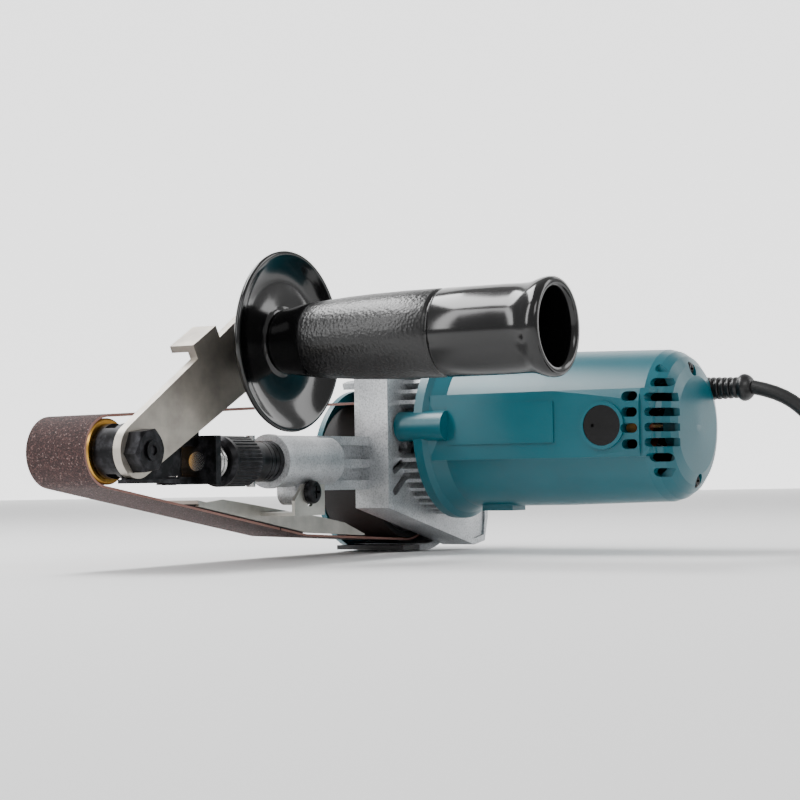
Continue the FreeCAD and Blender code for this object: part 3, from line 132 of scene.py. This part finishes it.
# %% Colour and node helpers
def linear(code):
    """An sRGB hex colour as linear RGBA."""
    parts = [int(code[i:i + 2], 16) / 255 for i in (1, 3, 5)]
    bright = [c / 12.92 if c <= 0.04045 else ((c + 0.055) / 1.055) ** 2.4 for c in parts]
    return (*bright, 1.0)


def add(tree, kind, settings=None, stops=(), **feeds):
    """Add a node: its own properties, a ramp's stops, and its sockets, fed by values or by links."""
    node = tree.nodes.new(kind)
    for key, value in (settings or {}).items():
        setattr(node, key, value)
    for index, (position, code) in enumerate(stops):
        if index >= len(node.color_ramp.elements):
            node.color_ramp.elements.new(position)
        node.color_ramp.elements[index].position = position
        node.color_ramp.elements[index].color = linear(code)
    for key, value in feeds.items():
        numbered = key[0] == "i" and key[1:].isdigit()
        socket = node.inputs[int(key[1:])] if numbered else node.inputs[key.replace("_", " ")]
        if isinstance(value, bpy.types.NodeSocket):
            tree.links.new(value, socket)
        else:
            socket.default_value = value
    return node


def start_material(name, base, metallic, roughness, **shader_values):
    """A material with one Principled shader and the Object coordinates in millimetres."""
    material = bpy.data.materials.new(name)
    material.use_nodes = True
    tree = material.node_tree
    shader = tree.nodes["Principled BSDF"]
    shader.inputs["Base Color"].default_value = linear(base)
    shader.inputs["Metallic"].default_value = metallic
    shader.inputs["Roughness"].default_value = roughness
    for key, value in shader_values.items():
        shader.inputs[key.replace("_", " ")].default_value = value
    place = add(tree, "ShaderNodeTexCoord").outputs["Object"]
    scaled = add(tree, "ShaderNodeVectorMath", {"operation": "SCALE"}, Vector=place, Scale=1000.0)
    return material, tree, shader, scaled.outputs["Vector"]


def surface_of(tree, shader, fine, low, high, depth_mm, strength=1.0):
    """Let one pattern drive both the roughness, between low and high, and a bump of this depth."""
    rough = add(tree, "ShaderNodeMapRange", Value=fine, To_Min=low, To_Max=high)
    relief = add(tree, "ShaderNodeBump", Height=fine, Distance=depth_mm * MM, Strength=strength)
    tree.links.new(rough.outputs["Result"], shader.inputs["Roughness"])
    tree.links.new(relief.outputs["Normal"], shader.inputs["Normal"])


# %% [markdown]
# The floor is a matt pale sheet, a shade darker than the room so that contact shadows show.

# %% Floor and backdrop finish
paper, tree, shader, where = start_material("paper_backdrop_matt", "#F6F6F6", 0.0, 0.9)
fibres = add(tree, "ShaderNodeTexNoise", Vector=where, Scale=1 / 2.0)
surface_of(tree, shader, fibres.outputs["Fac"], 0.86, 0.94, 0.02)
floor.data.materials.append(paper)
BACKDROP_GLOW = 1.6
lit_screen, tree, shader, where = start_material("acrylic_backlit_screen", "#FFFFFF", 0.0, 0.9,
                                                 Emission_Strength=BACKDROP_GLOW)
shader.inputs["Emission Color"].default_value = linear("#FFFFFF")
backdrop.data.materials.append(lit_screen)

# %% [markdown]
# The mains cord is 2.5 m of round rubber flex.  It leaves the guard level, sinks to the table in a
# long easy curve, and its spare length lies in a low coil of four layers that wind inwards and
# outwards by turns.  One NURBS curve carries the whole length, so it bends as flex does.  Its
# thickness is given at its points, because the box round a curve grows by the radius at its points.

# %% Cord route
guard_low, guard_high = [Vector(c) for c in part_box("cord_guard")]
mouth = Vector(((guard_low.x + guard_high.x) / 2, guard_low.y, (guard_low.z + guard_high.z) / 2))
CORD_RADIUS = 3.25 * MM
LEAD = [(0, 0, 0), (0, -12, -2.5), (0, -25, -11.5), (-0.3, -35, -25), (-0.8, -43.5, -42),
        (-2, -55.5, -58), (-4.5, -75.5, -68), (-9.5, -97, -71)]
TAIL = [(-61.96, -151.72, -50.5), (-76.7, -154.45, -53.2), (-91.6, -155.78, -58.6),
        (-106.6, -155.78, -63.9), (-119.55, -154.68, -66.4)]
COIL_CENTRE = (-60.66, -102.5)
COIL_OUTER, COIL_STEP, COIL_LAYERS = 47.2, 6.6, 4
COIL_START, COIL_TURNS = -17.32, 9.16
LOW_LAYER = -70.05
POINTS_PER_TURN = 16


def coil_points():
    """Wind inwards and outwards by turns, each layer on top of the last."""
    made = []
    count = round(COIL_TURNS * POINTS_PER_TURN)
    per_layer = COIL_TURNS / COIL_LAYERS
    for k in range(count + 1):
        turns = COIL_TURNS * k / count
        layer = min(int(turns / per_layer), COIL_LAYERS - 1)
        into = turns - layer * per_layer
        inward = into if layer % 2 == 0 else per_layer - into
        climb = sum(min(1.0, max(0.0, (turns - n * per_layer) * 2.5 + 0.5)) for n in range(1, COIL_LAYERS))
        angle = math.radians(COIL_START - 360 * turns)
        radius = COIL_OUTER - COIL_STEP * inward
        made.append((COIL_CENTRE[0] + radius * math.cos(angle), COIL_CENTRE[1] + radius * math.sin(angle),
                     LOW_LAYER + COIL_STEP * climb))
    return made


route = [mouth + Vector(p) * MM for p in LEAD + coil_points() + TAIL]
curve = bpy.data.curves.new("mains_cord", "CURVE")
curve.dimensions = "3D"
line = curve.splines.new("NURBS")
line.points.add(len(route) - 1)
for point, place in zip(line.points, route):
    point.co = (*place, 1.0)
    point.radius = CORD_RADIUS
line.order_u = 3
line.use_endpoint_u = True
line.resolution_u = 4
curve.bevel_depth = 1.0
curve.bevel_resolution = 4
curve.use_fill_caps = True
mains_cord = bpy.data.objects.new("mains_cord", curve)
bpy.context.scene.collection.objects.link(mains_cord)
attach(mains_cord, "frame")
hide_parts("power_cord", "cord_coil")
print("cord points", len(route))

# %% [markdown]
# Extruded flexible PVC: the jacket of the cord is a soft satin black with a very faint orange peel
# of about a millimetre from the die, so only its roughness and a shallow bump vary.

# %% Cord jacket finish
extruded_pvc, tree, shader, where = start_material("pvc_extruded_jacket", "#0F0F10", 0.0, 0.42, IOR=1.52)
peel = add(tree, "ShaderNodeTexNoise", Vector=where, Scale=1 / 1.1, Detail=3.0)
surface_of(tree, shader, peel.outputs["Fac"], 0.34, 0.52, 0.04)
curve.materials.append(extruded_pvc)

# %% [markdown]
# Sand-blasted aluminium casting: the gear housing comes out of its mould grey and grainy.  Blasting
# leaves pits of about a third of a millimetre, drawn at 0.8 mm so that they show.  Broad clouds of
# about 18 mm are where the metal cooled at different speeds.  The hollows of the pits are painted
# darker: painted shade.

# %% Cast aluminium finish
cast_aluminium, tree, shader, where = start_material("aluminium_cast_blasted", "#C6C8CA", 0.7, 0.45)
clouds = add(tree, "ShaderNodeTexNoise", Vector=where, Scale=1 / 18, Detail=3.0)
cloud_tone = add(tree, "ShaderNodeValToRGB", stops=[(0.3, "#B2B5B8"), (0.7, "#D4D6D8")],
                 Fac=clouds.outputs["Fac"])
pits = add(tree, "ShaderNodeTexNoise", Vector=where, Scale=1 / 0.8, Detail=4.0, Roughness=0.65)
# Painted shade: where the pit pattern is low, in the hollows of the bump, the colour is darker.
pit_painted_shade = add(tree, "ShaderNodeValToRGB", stops=[(0.3, "#9A9DA0"), (0.55, "#FFFFFF")],
               Fac=pits.outputs["Fac"])
# The cloud tone multiplied by the painted shade of the pits.
clouds_and_painted_pit_shade = add(tree, "ShaderNodeMix", {"data_type": "RGBA", "blend_type": "MULTIPLY"}, i0=0.7,
               i6=cloud_tone.outputs["Color"], i7=pit_painted_shade.outputs["Color"])
tree.links.new(clouds_and_painted_pit_shade.outputs[2], shader.inputs["Base Color"])
surface_of(tree, shader, pits.outputs["Fac"], 0.34, 0.58, 0.16)

# %% [markdown]
# Turned and ground metals carry fine lines round the axis they were turned about.  A noise that is
# stretched hard along one direction draws them; the line spacing is the tool's feed, about 0.15 mm,
# drawn at 0.4 mm.

# %% Machined metal finishes
def machined(name, base, roughness, stretch, line_mm=0.4, depth_mm=0.012):
    """Metal with fine parallel lines; stretch is how slowly the pattern changes along X, Y and Z."""
    material, tree, shader, where = start_material(name, base, 1.0, roughness)
    drawn_out = add(tree, "ShaderNodeVectorMath", {"operation": "MULTIPLY"}, i0=where, i1=stretch)
    lines = add(tree, "ShaderNodeTexNoise", Vector=drawn_out.outputs["Vector"], Scale=1 / line_mm)
    surface_of(tree, shader, lines.outputs["Fac"], roughness * 0.8, roughness * 1.3, depth_mm)
    return material


ground_steel = machined("steel_ground_bright", "#B9B9B8", 0.24, (1.0, 0.02, 0.02))
turned_brass = machined("brass_turned", "#C99A4A", 0.28, (0.03, 1.0, 0.03))
turned_aluminium = machined("aluminium_turned", "#C4C6C8", 0.3, (0.03, 1.0, 0.03))
copper_wire = machined("copper_enamelled_winding", "#A24C25", 0.35, (0.1, 1.0, 0.1), 0.8, 0.1)
core_steel = machined("silicon_steel_laminated", "#85888C", 0.42, (0.02, 1.0, 0.02), 0.9, 0.08)

# %% [markdown]
# Zinc-plated steel sheet: the bracket and the shoe are cut from rolled strip.  Plating leaves a warm
# grey with soft clouds of about 14 mm, and rolling leaves faint lines along the strip.

# %% Plated sheet finish
def plated_sheet(name, dark, pale, slope):
    material, tree, shader, where = start_material(name, pale, 0.9, 0.4)
    clouds = add(tree, "ShaderNodeTexNoise", Vector=where, Scale=1 / 14, Detail=4.0, Roughness=0.6)
    tone = add(tree, "ShaderNodeValToRGB", stops=[(0.3, dark), (0.7, pale)], Fac=clouds.outputs["Fac"])
    tree.links.new(tone.outputs["Color"], shader.inputs["Base Color"])
    rolled = add(tree, "ShaderNodeMapping", Vector=where, Rotation=(0.0, math.radians(slope), 0.0),
                 Scale=(0.05, 1.0, 1.0))
    lines = add(tree, "ShaderNodeTexNoise", Vector=rolled.outputs["Vector"], Scale=1 / 0.6, Detail=3.0)
    surface_of(tree, shader, lines.outputs["Fac"], 0.32, 0.52, 0.02)
    return material


bracket_sheet = plated_sheet("steel_sheet_zinc_plated", "#A09A92", "#C2BCB2", 29.7)
shoe_sheet = plated_sheet("steel_sheet_pressed", "#A8A7A1", "#CAC8C1", -9)

# %% [markdown]
# Black oxide on steel is a thin conversion layer: nearly black, a little metallic, oily sheen, and
# rubbed brighter where hands and spanners touch it, in blotches of about 4 mm.

# %% Black oxide finish
black_oxide, tree, shader, where = start_material("steel_black_oxide", "#1C1C1E", 0.8, 0.38)
blotches = add(tree, "ShaderNodeTexNoise", Vector=where, Scale=1 / 4, Detail=4.0, Roughness=0.6)
rubbed = add(tree, "ShaderNodeValToRGB", stops=[(0.45, "#141416"), (0.8, "#3C3C40")],
             Fac=blotches.outputs["Fac"])
tree.links.new(rubbed.outputs["Color"], shader.inputs["Base Color"])
surface_of(tree, shader, blotches.outputs["Fac"], 0.26, 0.46, 0.03)

# %% [markdown]
# Moulded plastics differ in colour, gloss and grain.  The motor housing is glass-filled nylon: its
# mould was spark-eroded, which gives an even satin grain of about 0.3 mm, drawn at 0.6 mm.  The hand
# guard's mould was polished, so it is glossy with a slow sink wave of some 8 mm instead of a grain.

# %% Moulded finishes
def moulded(name, base, shade, roughness, grain_mm, depth_mm, **more):
    material, tree, shader, where = start_material(name, base, 0.0, roughness, **more)
    flow = add(tree, "ShaderNodeTexNoise", Vector=where, Scale=1 / 30)
    tone = add(tree, "ShaderNodeValToRGB", stops=[(0.3, shade), (0.7, base)], Fac=flow.outputs["Fac"])
    tree.links.new(tone.outputs["Color"], shader.inputs["Base Color"])
    grain = add(tree, "ShaderNodeTexNoise", Vector=where, Scale=1 / grain_mm)
    surface_of(tree, shader, grain.outputs["Fac"], roughness * 0.85, roughness * 1.15, depth_mm)
    return material


teal_nylon = moulded("nylon_glass_filled_teal", "#005C69", "#005460", 0.34, 0.6, 0.03, IOR=1.53)
black_nylon = moulded("nylon_moulded_black", "#0D0D0E", "#111113", 0.36, 0.5, 0.03, IOR=1.53)
gloss_black = moulded("abs_moulded_gloss_black", "#050506", "#070708", 0.12, 8.0, 0.05, IOR=1.54)
moulded_rubber = moulded("rubber_moulded_black", "#141415", "#19191A", 0.7, 0.6, 0.05)
pressed_carbon = moulded("carbon_pressed_block", "#1A1A1B", "#222224", 0.6, 0.4, 0.04)
potted_board = moulded("epoxy_potted_board", "#12361F", "#18452A", 0.3, 2.0, 0.05)
graphite_canvas = moulded("canvas_graphite_coated", "#26262A", "#303036", 0.5, 0.8, 0.12)

# %% [markdown]
# The side grip is moulded in one piece with two surfaces: polished at the collar and the end flange,
# and a leather-like grain of about 1.3 mm cells in between.  A mask along the grip's length chooses
# where the grain's bump and its higher roughness apply.

# %% Grained grip finish
grip_low, grip_high = [Vector(c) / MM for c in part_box("side_grip")]
GRAIN_FROM, GRAIN_TO = grip_low.y + 51.0, grip_high.y - 16.0
grip_moulding, tree, shader, where = start_material("nylon_moulded_leather_grain", "#070708", 0.0, 0.3,
                                                    IOR=1.53)
station = add(tree, "ShaderNodeSeparateXYZ", Vector=where).outputs["Y"]
rise = add(tree, "ShaderNodeMapRange", Value=station, From_Min=GRAIN_FROM - 0.8, From_Max=GRAIN_FROM + 0.8)
fall = add(tree, "ShaderNodeMapRange", Value=station, From_Min=GRAIN_TO + 0.8, From_Max=GRAIN_TO - 0.8)
grained = add(tree, "ShaderNodeMath", {"operation": "MULTIPLY"}, i0=rise.outputs["Result"],
              i1=fall.outputs["Result"])
cells = add(tree, "ShaderNodeTexVoronoi", {"feature": "SMOOTH_F1"}, Vector=where, Scale=1 / 1.3,
            Smoothness=0.6)
depth = add(tree, "ShaderNodeMath", {"operation": "MULTIPLY"}, i0=cells.outputs["Distance"],
            i1=grained.outputs["Value"])
grain_gloss = add(tree, "ShaderNodeMapRange", Value=grained.outputs["Value"], To_Min=0.14, To_Max=0.32)
tree.links.new(grain_gloss.outputs["Result"], shader.inputs["Roughness"])
grain_relief = add(tree, "ShaderNodeBump", Height=depth.outputs["Value"], Distance=0.13 * MM)
tree.links.new(grain_relief.outputs["Normal"], shader.inputs["Normal"])

# %% [markdown]
# The sanding belt is cloth with aluminium oxide grit glued to its outer face.  Grit of about 0.3 mm
# is drawn at 0.5 mm: mostly dark maroon, with paler and nearly black grains.  The inner face and the
# cut edges show the pinkish cloth.  The outer face is found from the surface's own direction: there
# it points away from the middle of the loop.  A slanted line is the glued splice.

# %% Abrasive cloth finish
belt_low, belt_high = [Vector(c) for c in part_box("sanding_belt")]
belt_middle = (belt_low + belt_high) / 2
abrasive_cloth, tree, shader, where = start_material("aluminium_oxide_on_cloth", "#4B2D29", 0.0, 0.8)
spot = add(tree, "ShaderNodeTexCoord")
outward = add(tree, "ShaderNodeVectorMath", {"operation": "SUBTRACT"}, i0=spot.outputs["Object"],
              i1=belt_middle)
LOOP_FLATNESS = (0.12, 0, 1.0)
flat = add(tree, "ShaderNodeVectorMath", {"operation": "MULTIPLY"}, i0=outward.outputs["Vector"],
           i1=LOOP_FLATNESS)
facing = add(tree, "ShaderNodeVectorMath", {"operation": "DOT_PRODUCT"}, i0=flat.outputs["Vector"],
             i1=spot.outputs["Normal"])
outer = add(tree, "ShaderNodeMath", {"operation": "GREATER_THAN"}, i0=facing.outputs["Value"], i1=0.002)
grit = add(tree, "ShaderNodeTexVoronoi", Vector=where, Scale=1 / 0.5)
grain_tone = add(tree, "ShaderNodeSeparateXYZ", Vector=grit.outputs["Color"]).outputs["X"]
GRIT_TONES = [(0.0, "#1F1211"), (0.4, "#33201F"), (0.75, "#432A28"), (0.94, "#5C413E"), (1.0, "#84706C")]
grit_colour = add(tree, "ShaderNodeValToRGB", stops=GRIT_TONES, Fac=grain_tone)
weave = add(tree, "ShaderNodeTexWave", {"bands_direction": "X"}, Vector=where, Scale=0.9, Distortion=0.6)
cloth_colour = add(tree, "ShaderNodeValToRGB", stops=[(0.2, "#8C6259"), (0.8, "#B08A80")],
                   Fac=weave.outputs["Fac"])
choose = add(tree, "ShaderNodeMix", {"data_type": "RGBA"}, i0=outer.outputs["Value"],
             i6=cloth_colour.outputs["Color"], i7=grit_colour.outputs["Color"])
across = add(tree, "ShaderNodeSeparateXYZ", Vector=where)
SPLICE_SLOPE = 0.45
SPLICE_X = 20.0
SPLICE_HALF = 0.5
slant = add(tree, "ShaderNodeMath", {"operation": "MULTIPLY_ADD"}, i0=across.outputs["Y"],
            i1=SPLICE_SLOPE, i2=across.outputs["X"])
from_splice = add(tree, "ShaderNodeMath", {"operation": "COMPARE"}, i0=slant.outputs["Value"],
                  i1=SPLICE_X, i2=SPLICE_HALF)
spliced = add(tree, "ShaderNodeMix", {"data_type": "RGBA"}, i0=from_splice.outputs["Value"],
              i6=choose.outputs[2], i7=linear("#231312"))
tree.links.new(spliced.outputs[2], shader.inputs["Base Color"])
surface_of(tree, shader, grit.outputs["Distance"], 0.72, 0.9, 0.2)

# %% [markdown]
# Each solid of the frame now gets the finish of what it is made of.

# %% Finish for every solid
FINISHES = {
    cast_aluminium: ["gear_housing", "vent_plate"],
    teal_nylon: ["motor_housing", "rear_cover", "belt_cover"],
    black_nylon: ["guard_strip", "cooling_fan", "switch_slider", "switch_block", "speed_dial", "cord_guard",
                  "cord_tie", "plug_body"],
    gloss_black: ["hand_guard", "brush_caps"],
    grip_moulding: ["side_grip"],
    bracket_sheet: ["handle_bracket"],
    shoe_sheet: ["shoe"],
    black_oxide: ["cover_screws", "shoe_screw", "pulley_screw", "drive_gear", "housing_screws",
                  "rear_screws", "idler_shaft", "shaft_spacer", "idler_yoke", "arm_head",
                  "tracking_knob", "handle_hub", "arm_tube", "idler_nut"],
    ground_steel: ["drive_spindle", "spindle_bearings", "armature_shaft", "motor_bearings", "brush_springs",
                   "idler_bearings", "yoke_pin", "tracking_stud", "tracking_spring", "cross_pin",
                   "tension_spring", "grip_stud"],
    turned_brass: ["idler_roller", "brush_holders", "plug_pins"],
    turned_aluminium: ["drive_pulley"],
    copper_wire: ["armature_windings", "commutator", "field_coils"],
    core_steel: ["armature_core", "field_core"],
    moulded_rubber: ["pulley_tyre"],
    pressed_carbon: ["carbon_brushes"],
    potted_board: ["speed_controller"],
    graphite_canvas: ["shoe_pad"],
    abrasive_cloth: ["sanding_belt"],
    extruded_pvc: ["power_cord", "cord_coil"],
}


def finish_node(node, material):
    for part in bpy.data.objects:
        if part.type == "MESH" and (part.name == node or part.name.split(".")[0] == node):
            part.data.materials.clear()
            part.data.materials.append(material)


for material, nodes in FINISHES.items():
    for node in nodes:
        finish_node(node, material)
finished = {node for nodes in FINISHES.values() for node in nodes}
print("solids without a finish:", sorted(set(frame["nodes"]) - finished))

# %% [markdown]
# The round plastic pieces are turned shapes.  By hand one would draw a circle and extrude it ring by
# ring, scaling each ring; this helper does the same.  Every ring is a station along Y with a radius,
# and the last ring is left closed.  The doubles that two equal rings leave are merged, and the normals
# are made to point outwards.  Where a bevel width is given, a small bevel catches the light on the remaining
# edges.

# %% Turned pieces
def turned_piece(name, node, stations, sides=96, bevel_mm=0.0):
    """Rings (mm from the node's +Y end, radius in mm) about the node's middle line."""
    low, high = [Vector(c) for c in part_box(node)]
    x, z = (low.x + high.x) / 2, (low.z + high.z) / 2
    start, radius = stations[0]
    bpy.ops.object.select_all(action="DESELECT")
    bpy.ops.mesh.primitive_circle_add(vertices=sides, radius=radius * MM, fill_type="NGON",
                                      location=(x, high.y + start * MM, z), rotation=(math.radians(90), 0, 0))
    piece = bpy.context.object
    piece.name = name
    bpy.ops.object.transform_apply(location=True, rotation=True, scale=True)
    bpy.ops.object.mode_set(mode="EDIT")
    bpy.ops.mesh.select_all(action="SELECT")
    for (y0, r0), (y1, r1) in zip(stations, stations[1:]):
        bpy.ops.mesh.extrude_region_move(TRANSFORM_OT_translate={"value": (0, (y1 - y0) * MM, 0)})
        bpy.ops.transform.resize(value=(r1 / r0, 1, r1 / r0), center_override=(x, high.y + y1 * MM, z))
    bpy.ops.mesh.select_all(action="SELECT")
    bpy.ops.mesh.remove_doubles(threshold=0.00001)
    bpy.ops.mesh.normals_make_consistent(inside=False)
    bpy.ops.object.mode_set(mode="OBJECT")
    if bevel_mm:
        edge = piece.modifiers.new("edge", "BEVEL")
        edge.width, edge.segments, edge.limit_method = bevel_mm * MM, 2, "ANGLE"
        edge.angle_limit = math.radians(40)
        bpy.ops.object.modifier_apply(modifier="edge")
    bpy.ops.object.shade_smooth_by_angle(angle=math.radians(42))
    print(name, "faces", len(piece.data.polygons))
    return piece


def hand_over(piece, body, slot, material, *nodes):
    """Let a finished piece stand for its plain solids and ride on their body."""
    piece.data.materials.clear()
    piece.data.materials.append(material)
    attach(piece, body)
    if nodes:
        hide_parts(*nodes)
    return piece


# %% [markdown]
# The hand guard is a thin dish moulded in glossy black plastic.  It slopes away from the hand, its
# rim rolls over to a blunt lip so that it can't cut, and a raised ring seats the grip's collar.

# %% Hand guard
GUARD_RINGS = [(0, 26), (-0.5, 28.6), (-1.3, 31.2), (-2.5, 34), (-3.6, 36.2), (-4.8, 37.7),
               (-5.7, 38.2), (-6.4, 38.25), (-6.9, 38.05), (-7.15, 37.6), (-7.15, 37.0), (-6.8, 36.2),
               (-6.1, 34.9), (-5.0, 33.0), (-3.9, 30.0), (-3.1, 27.0), (-2.8, 24.5), (-2.8, 15.6),
               (-3.0, 14.9), (-3.5, 14.2), (-3.9, 13.4), (-4.0, 12.6)]
guard = turned_piece("hand_guard_dish", "hand_guard", GUARD_RINGS, 128)
hand_over(guard, "yoke", "gloss_black", gloss_black, "hand_guard")

# %% [markdown]
# The side grip swells from its collar to the palm, has one thin groove where the two halves of its
# mould met, and ends in a rolled flange round a hollow that saves plastic.  The hollow narrows a
# little inwards, because the core had to be pulled out of it.

# %% Side grip
GRIP_RINGS = [(0, 12.6), (-0.3, 13.2), (-1.0, 13.6), (-3.0, 13.9), (-6, 14.4), (-10, 15.0),
              (-14, 15.5), (-19, 16.0), (-24, 16.4), (-34, 17.1), (-45, 17.6), (-62, 18), (-76.6, 18),
              (-77.3, 17.8), (-77.7, 17.3), (-78.4, 17.15), (-79.1, 17.3), (-79.5, 17.8),
              (-80.2, 18.0), (-94, 18), (-108, 17.95), (-114, 17.8), (-117.5, 17.9), (-120, 18.35),
              (-122, 19.0), (-124, 19.6), (-126, 19.85), (-127.6, 19.7), (-128.5, 19.1),
              (-128.85, 18.3), (-128.85, 17.2), (-128.5, 16.3), (-127.6, 15.6), (-126, 15.3),
              (-109, 14.2), (-69, 13.2), (-67.6, 12.6), (-67.2, 11.4)]
grip = turned_piece("side_grip_moulded", "side_grip", GRIP_RINGS, 128)
hand_over(grip, "yoke", "grip", grip_moulding, "side_grip")

# %% [markdown]
# Where the cord leaves the motor, a soft sleeve keeps it from kinking.  Ribs moulded round it let it
# bend evenly, and a ball at its mouth ends it.  It tapers towards the cord.

# %% Cord sleeve
def sleeve_rings():
    """A plain root, six ribs that get thinner, and the ball at the mouth."""
    rings = [(0, 5.3), (-4.0, 5.35)]
    station = -4.6
    for k in range(6):
        crest = 5.3 - 0.08 * k
        rings += [(station, crest - 0.75), (station - 0.9, crest - 0.75), (station - 1.2, crest - 0.1),
                  (station - 1.5, crest), (station - 2.1, crest), (station - 2.4, crest - 0.1)]
        station -= 2.7
    ball = [(-21.4, 4.7), (-22.2, 5.6), (-23.2, 6.15), (-24.2, 6.25), (-25.3, 6.0), (-26.4, 5.4),
            (-27.3, 4.6), (-27.8, 3.9), (-28.0, 3.3)]
    return rings + ball


sleeve = turned_piece("cord_sleeve_ribbed", "cord_guard", sleeve_rings(), 64)
hand_over(sleeve, "frame", "black_plastic", black_nylon, "cord_guard")

# %% [markdown]
# The spare cord is held by a hook-and-loop strap, a flat band of woven nylon round the turns.  Its
# loop is modelled from a box: the two ends are deleted, the corners are rounded with a bevel, and
# Solidify gives the band its thickness inwards, which is quicker than bending a strip round.

# %% Cord strap
tie_low, tie_high = [Vector(c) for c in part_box("cord_tie")]
TIE_TURN = math.radians(95)
tie_middle = (tie_low + tie_high) / 2
TIE_LONG, TIE_WIDE = 25.4 * MM, 9.0 * MM
bpy.ops.object.select_all(action="DESELECT")
bpy.ops.mesh.primitive_cube_add(size=1, location=tie_middle)
strap = bpy.context.object
strap.name = "cord_strap"
strap.scale = (TIE_LONG, TIE_WIDE, tie_high.z - tie_low.z - 0.2 * MM)
bpy.ops.object.transform_apply(location=False, rotation=False, scale=True)
bpy.ops.object.mode_set(mode="EDIT")
bpy.ops.mesh.select_mode(type="FACE")
bpy.ops.mesh.select_all(action="DESELECT")
bpy.ops.object.mode_set(mode="OBJECT")
for face in strap.data.polygons:
    face.select = abs(face.normal.y) > 0.9
bpy.ops.object.mode_set(mode="EDIT")
bpy.ops.mesh.delete(type="FACE")
bpy.ops.object.mode_set(mode="OBJECT")
ROUND_CORNERS = ("BEVEL", {"width": 2.2 * MM, "segments": 4})
STRAP_THICKNESS = ("SOLIDIFY", {"thickness": 0.9 * MM, "offset": -1})
for kind, settings in (ROUND_CORNERS, STRAP_THICKNESS):
    step = strap.modifiers.new(kind.lower(), kind)
    for key, value in settings.items():
        setattr(step, key, value)
    bpy.ops.object.modifier_apply(modifier=step.name)
strap.rotation_euler = (0, 0, TIE_TURN)
bpy.ops.object.transform_apply(location=True, rotation=True, scale=True)
bpy.ops.object.shade_smooth_by_angle(angle=math.radians(40))

woven_strap, tree, shader, where = start_material("nylon_woven_strap", "#17171A", 0.0, 0.85)
threads = add(tree, "ShaderNodeTexWave", {"bands_direction": "Y"}, Vector=where, Scale=0.35, Distortion=1.0)
thread_tone = add(tree, "ShaderNodeValToRGB", stops=[(0.3, "#101012"), (0.8, "#232327")],
                  Fac=threads.outputs["Fac"])
tree.links.new(thread_tone.outputs["Color"], shader.inputs["Base Color"])
surface_of(tree, shader, threads.outputs["Fac"], 0.75, 0.92, 0.2)
hand_over(strap, "frame", "black_plastic", woven_strap, "cord_tie")

# %% [markdown]
# The plug is one soft moulding.  Its body is a box with rounded corners, drawn in towards the cord,
# and the long taper behind it is the strain relief, whose grooves let it bend.  The end face of a
# thin box is extruded station by station, scaled each time, and then bevelled and subdivided.

# %% Plug moulding
tail_end = mouth + Vector(TAIL[-1]) * MM
tail_way = (Vector(TAIL[-1]) - Vector(TAIL[-2])).normalized()
heading = math.atan2(tail_way.y, tail_way.x)
bpy.ops.object.select_all(action="DESELECT")
bpy.ops.mesh.primitive_cube_add(size=1, location=(0, 0, 0))
plug = bpy.context.object
plug.name = "plug_moulding"
plug.scale = (2.0 * MM, 9.0 * MM, 9.0 * MM)
plug.location = (1.0 * MM, 0, 0)
bpy.ops.object.transform_apply(location=True, rotation=False, scale=True)
bpy.ops.object.mode_set(mode="EDIT")
bpy.ops.mesh.select_all(action="DESELECT")
bpy.ops.object.mode_set(mode="OBJECT")
for face in plug.data.polygons:
    face.select = face.normal.x > 0.9
bpy.ops.object.mode_set(mode="EDIT")
PLUG_STATIONS = [(5.0, 9.4, 9.4), (6.0, 8.0, 8.0), (8.0, 8.0, 8.0), (9.0, 9.8, 9.8),
                 (12.0, 10.0, 10.0), (13.0, 8.6, 8.6), (15.0, 8.6, 8.6), (16.0, 10.4, 10.4),
                 (19.0, 10.6, 10.6), (20.0, 9.4, 9.4), (22.0, 9.6, 9.6), (24.0, 11.0, 11.0),
                 (28.0, 18.0, 14.6), (36.0, 28.0, 15.4), (42.0, 31.2, 15.8), (62.0, 31.4, 15.8)]
here, wide, tall = 2.0, 9.0, 9.0
for station, next_wide, next_tall in PLUG_STATIONS:
    bpy.ops.mesh.extrude_region_move(TRANSFORM_OT_translate={"value": ((station - here) * MM, 0, 0)})
    growth = (1, next_wide / wide, next_tall / tall)
    bpy.ops.transform.resize(value=growth, center_override=(station * MM, 0, 0))
    here, wide, tall = station, next_wide, next_tall
bpy.ops.mesh.select_all(action="SELECT")
bpy.ops.mesh.normals_make_consistent(inside=False)
bpy.ops.object.mode_set(mode="OBJECT")
for kind, settings in (("BEVEL", {"width": 0.9 * MM, "segments": 2}),
                       ("SUBSURF", {"levels": 2, "render_levels": 2})):
    step = plug.modifiers.new(kind.lower(), kind)
    for key, value in settings.items():
        setattr(step, key, value)
    bpy.ops.object.modifier_apply(modifier=step.name)
plug.rotation_euler = (0, 0, heading)
plug.location = tail_end
bpy.ops.object.transform_apply(location=True, rotation=True, scale=True)
bpy.ops.object.shade_smooth()
hand_over(plug, "frame", "black_plastic", black_nylon, "plug_body")
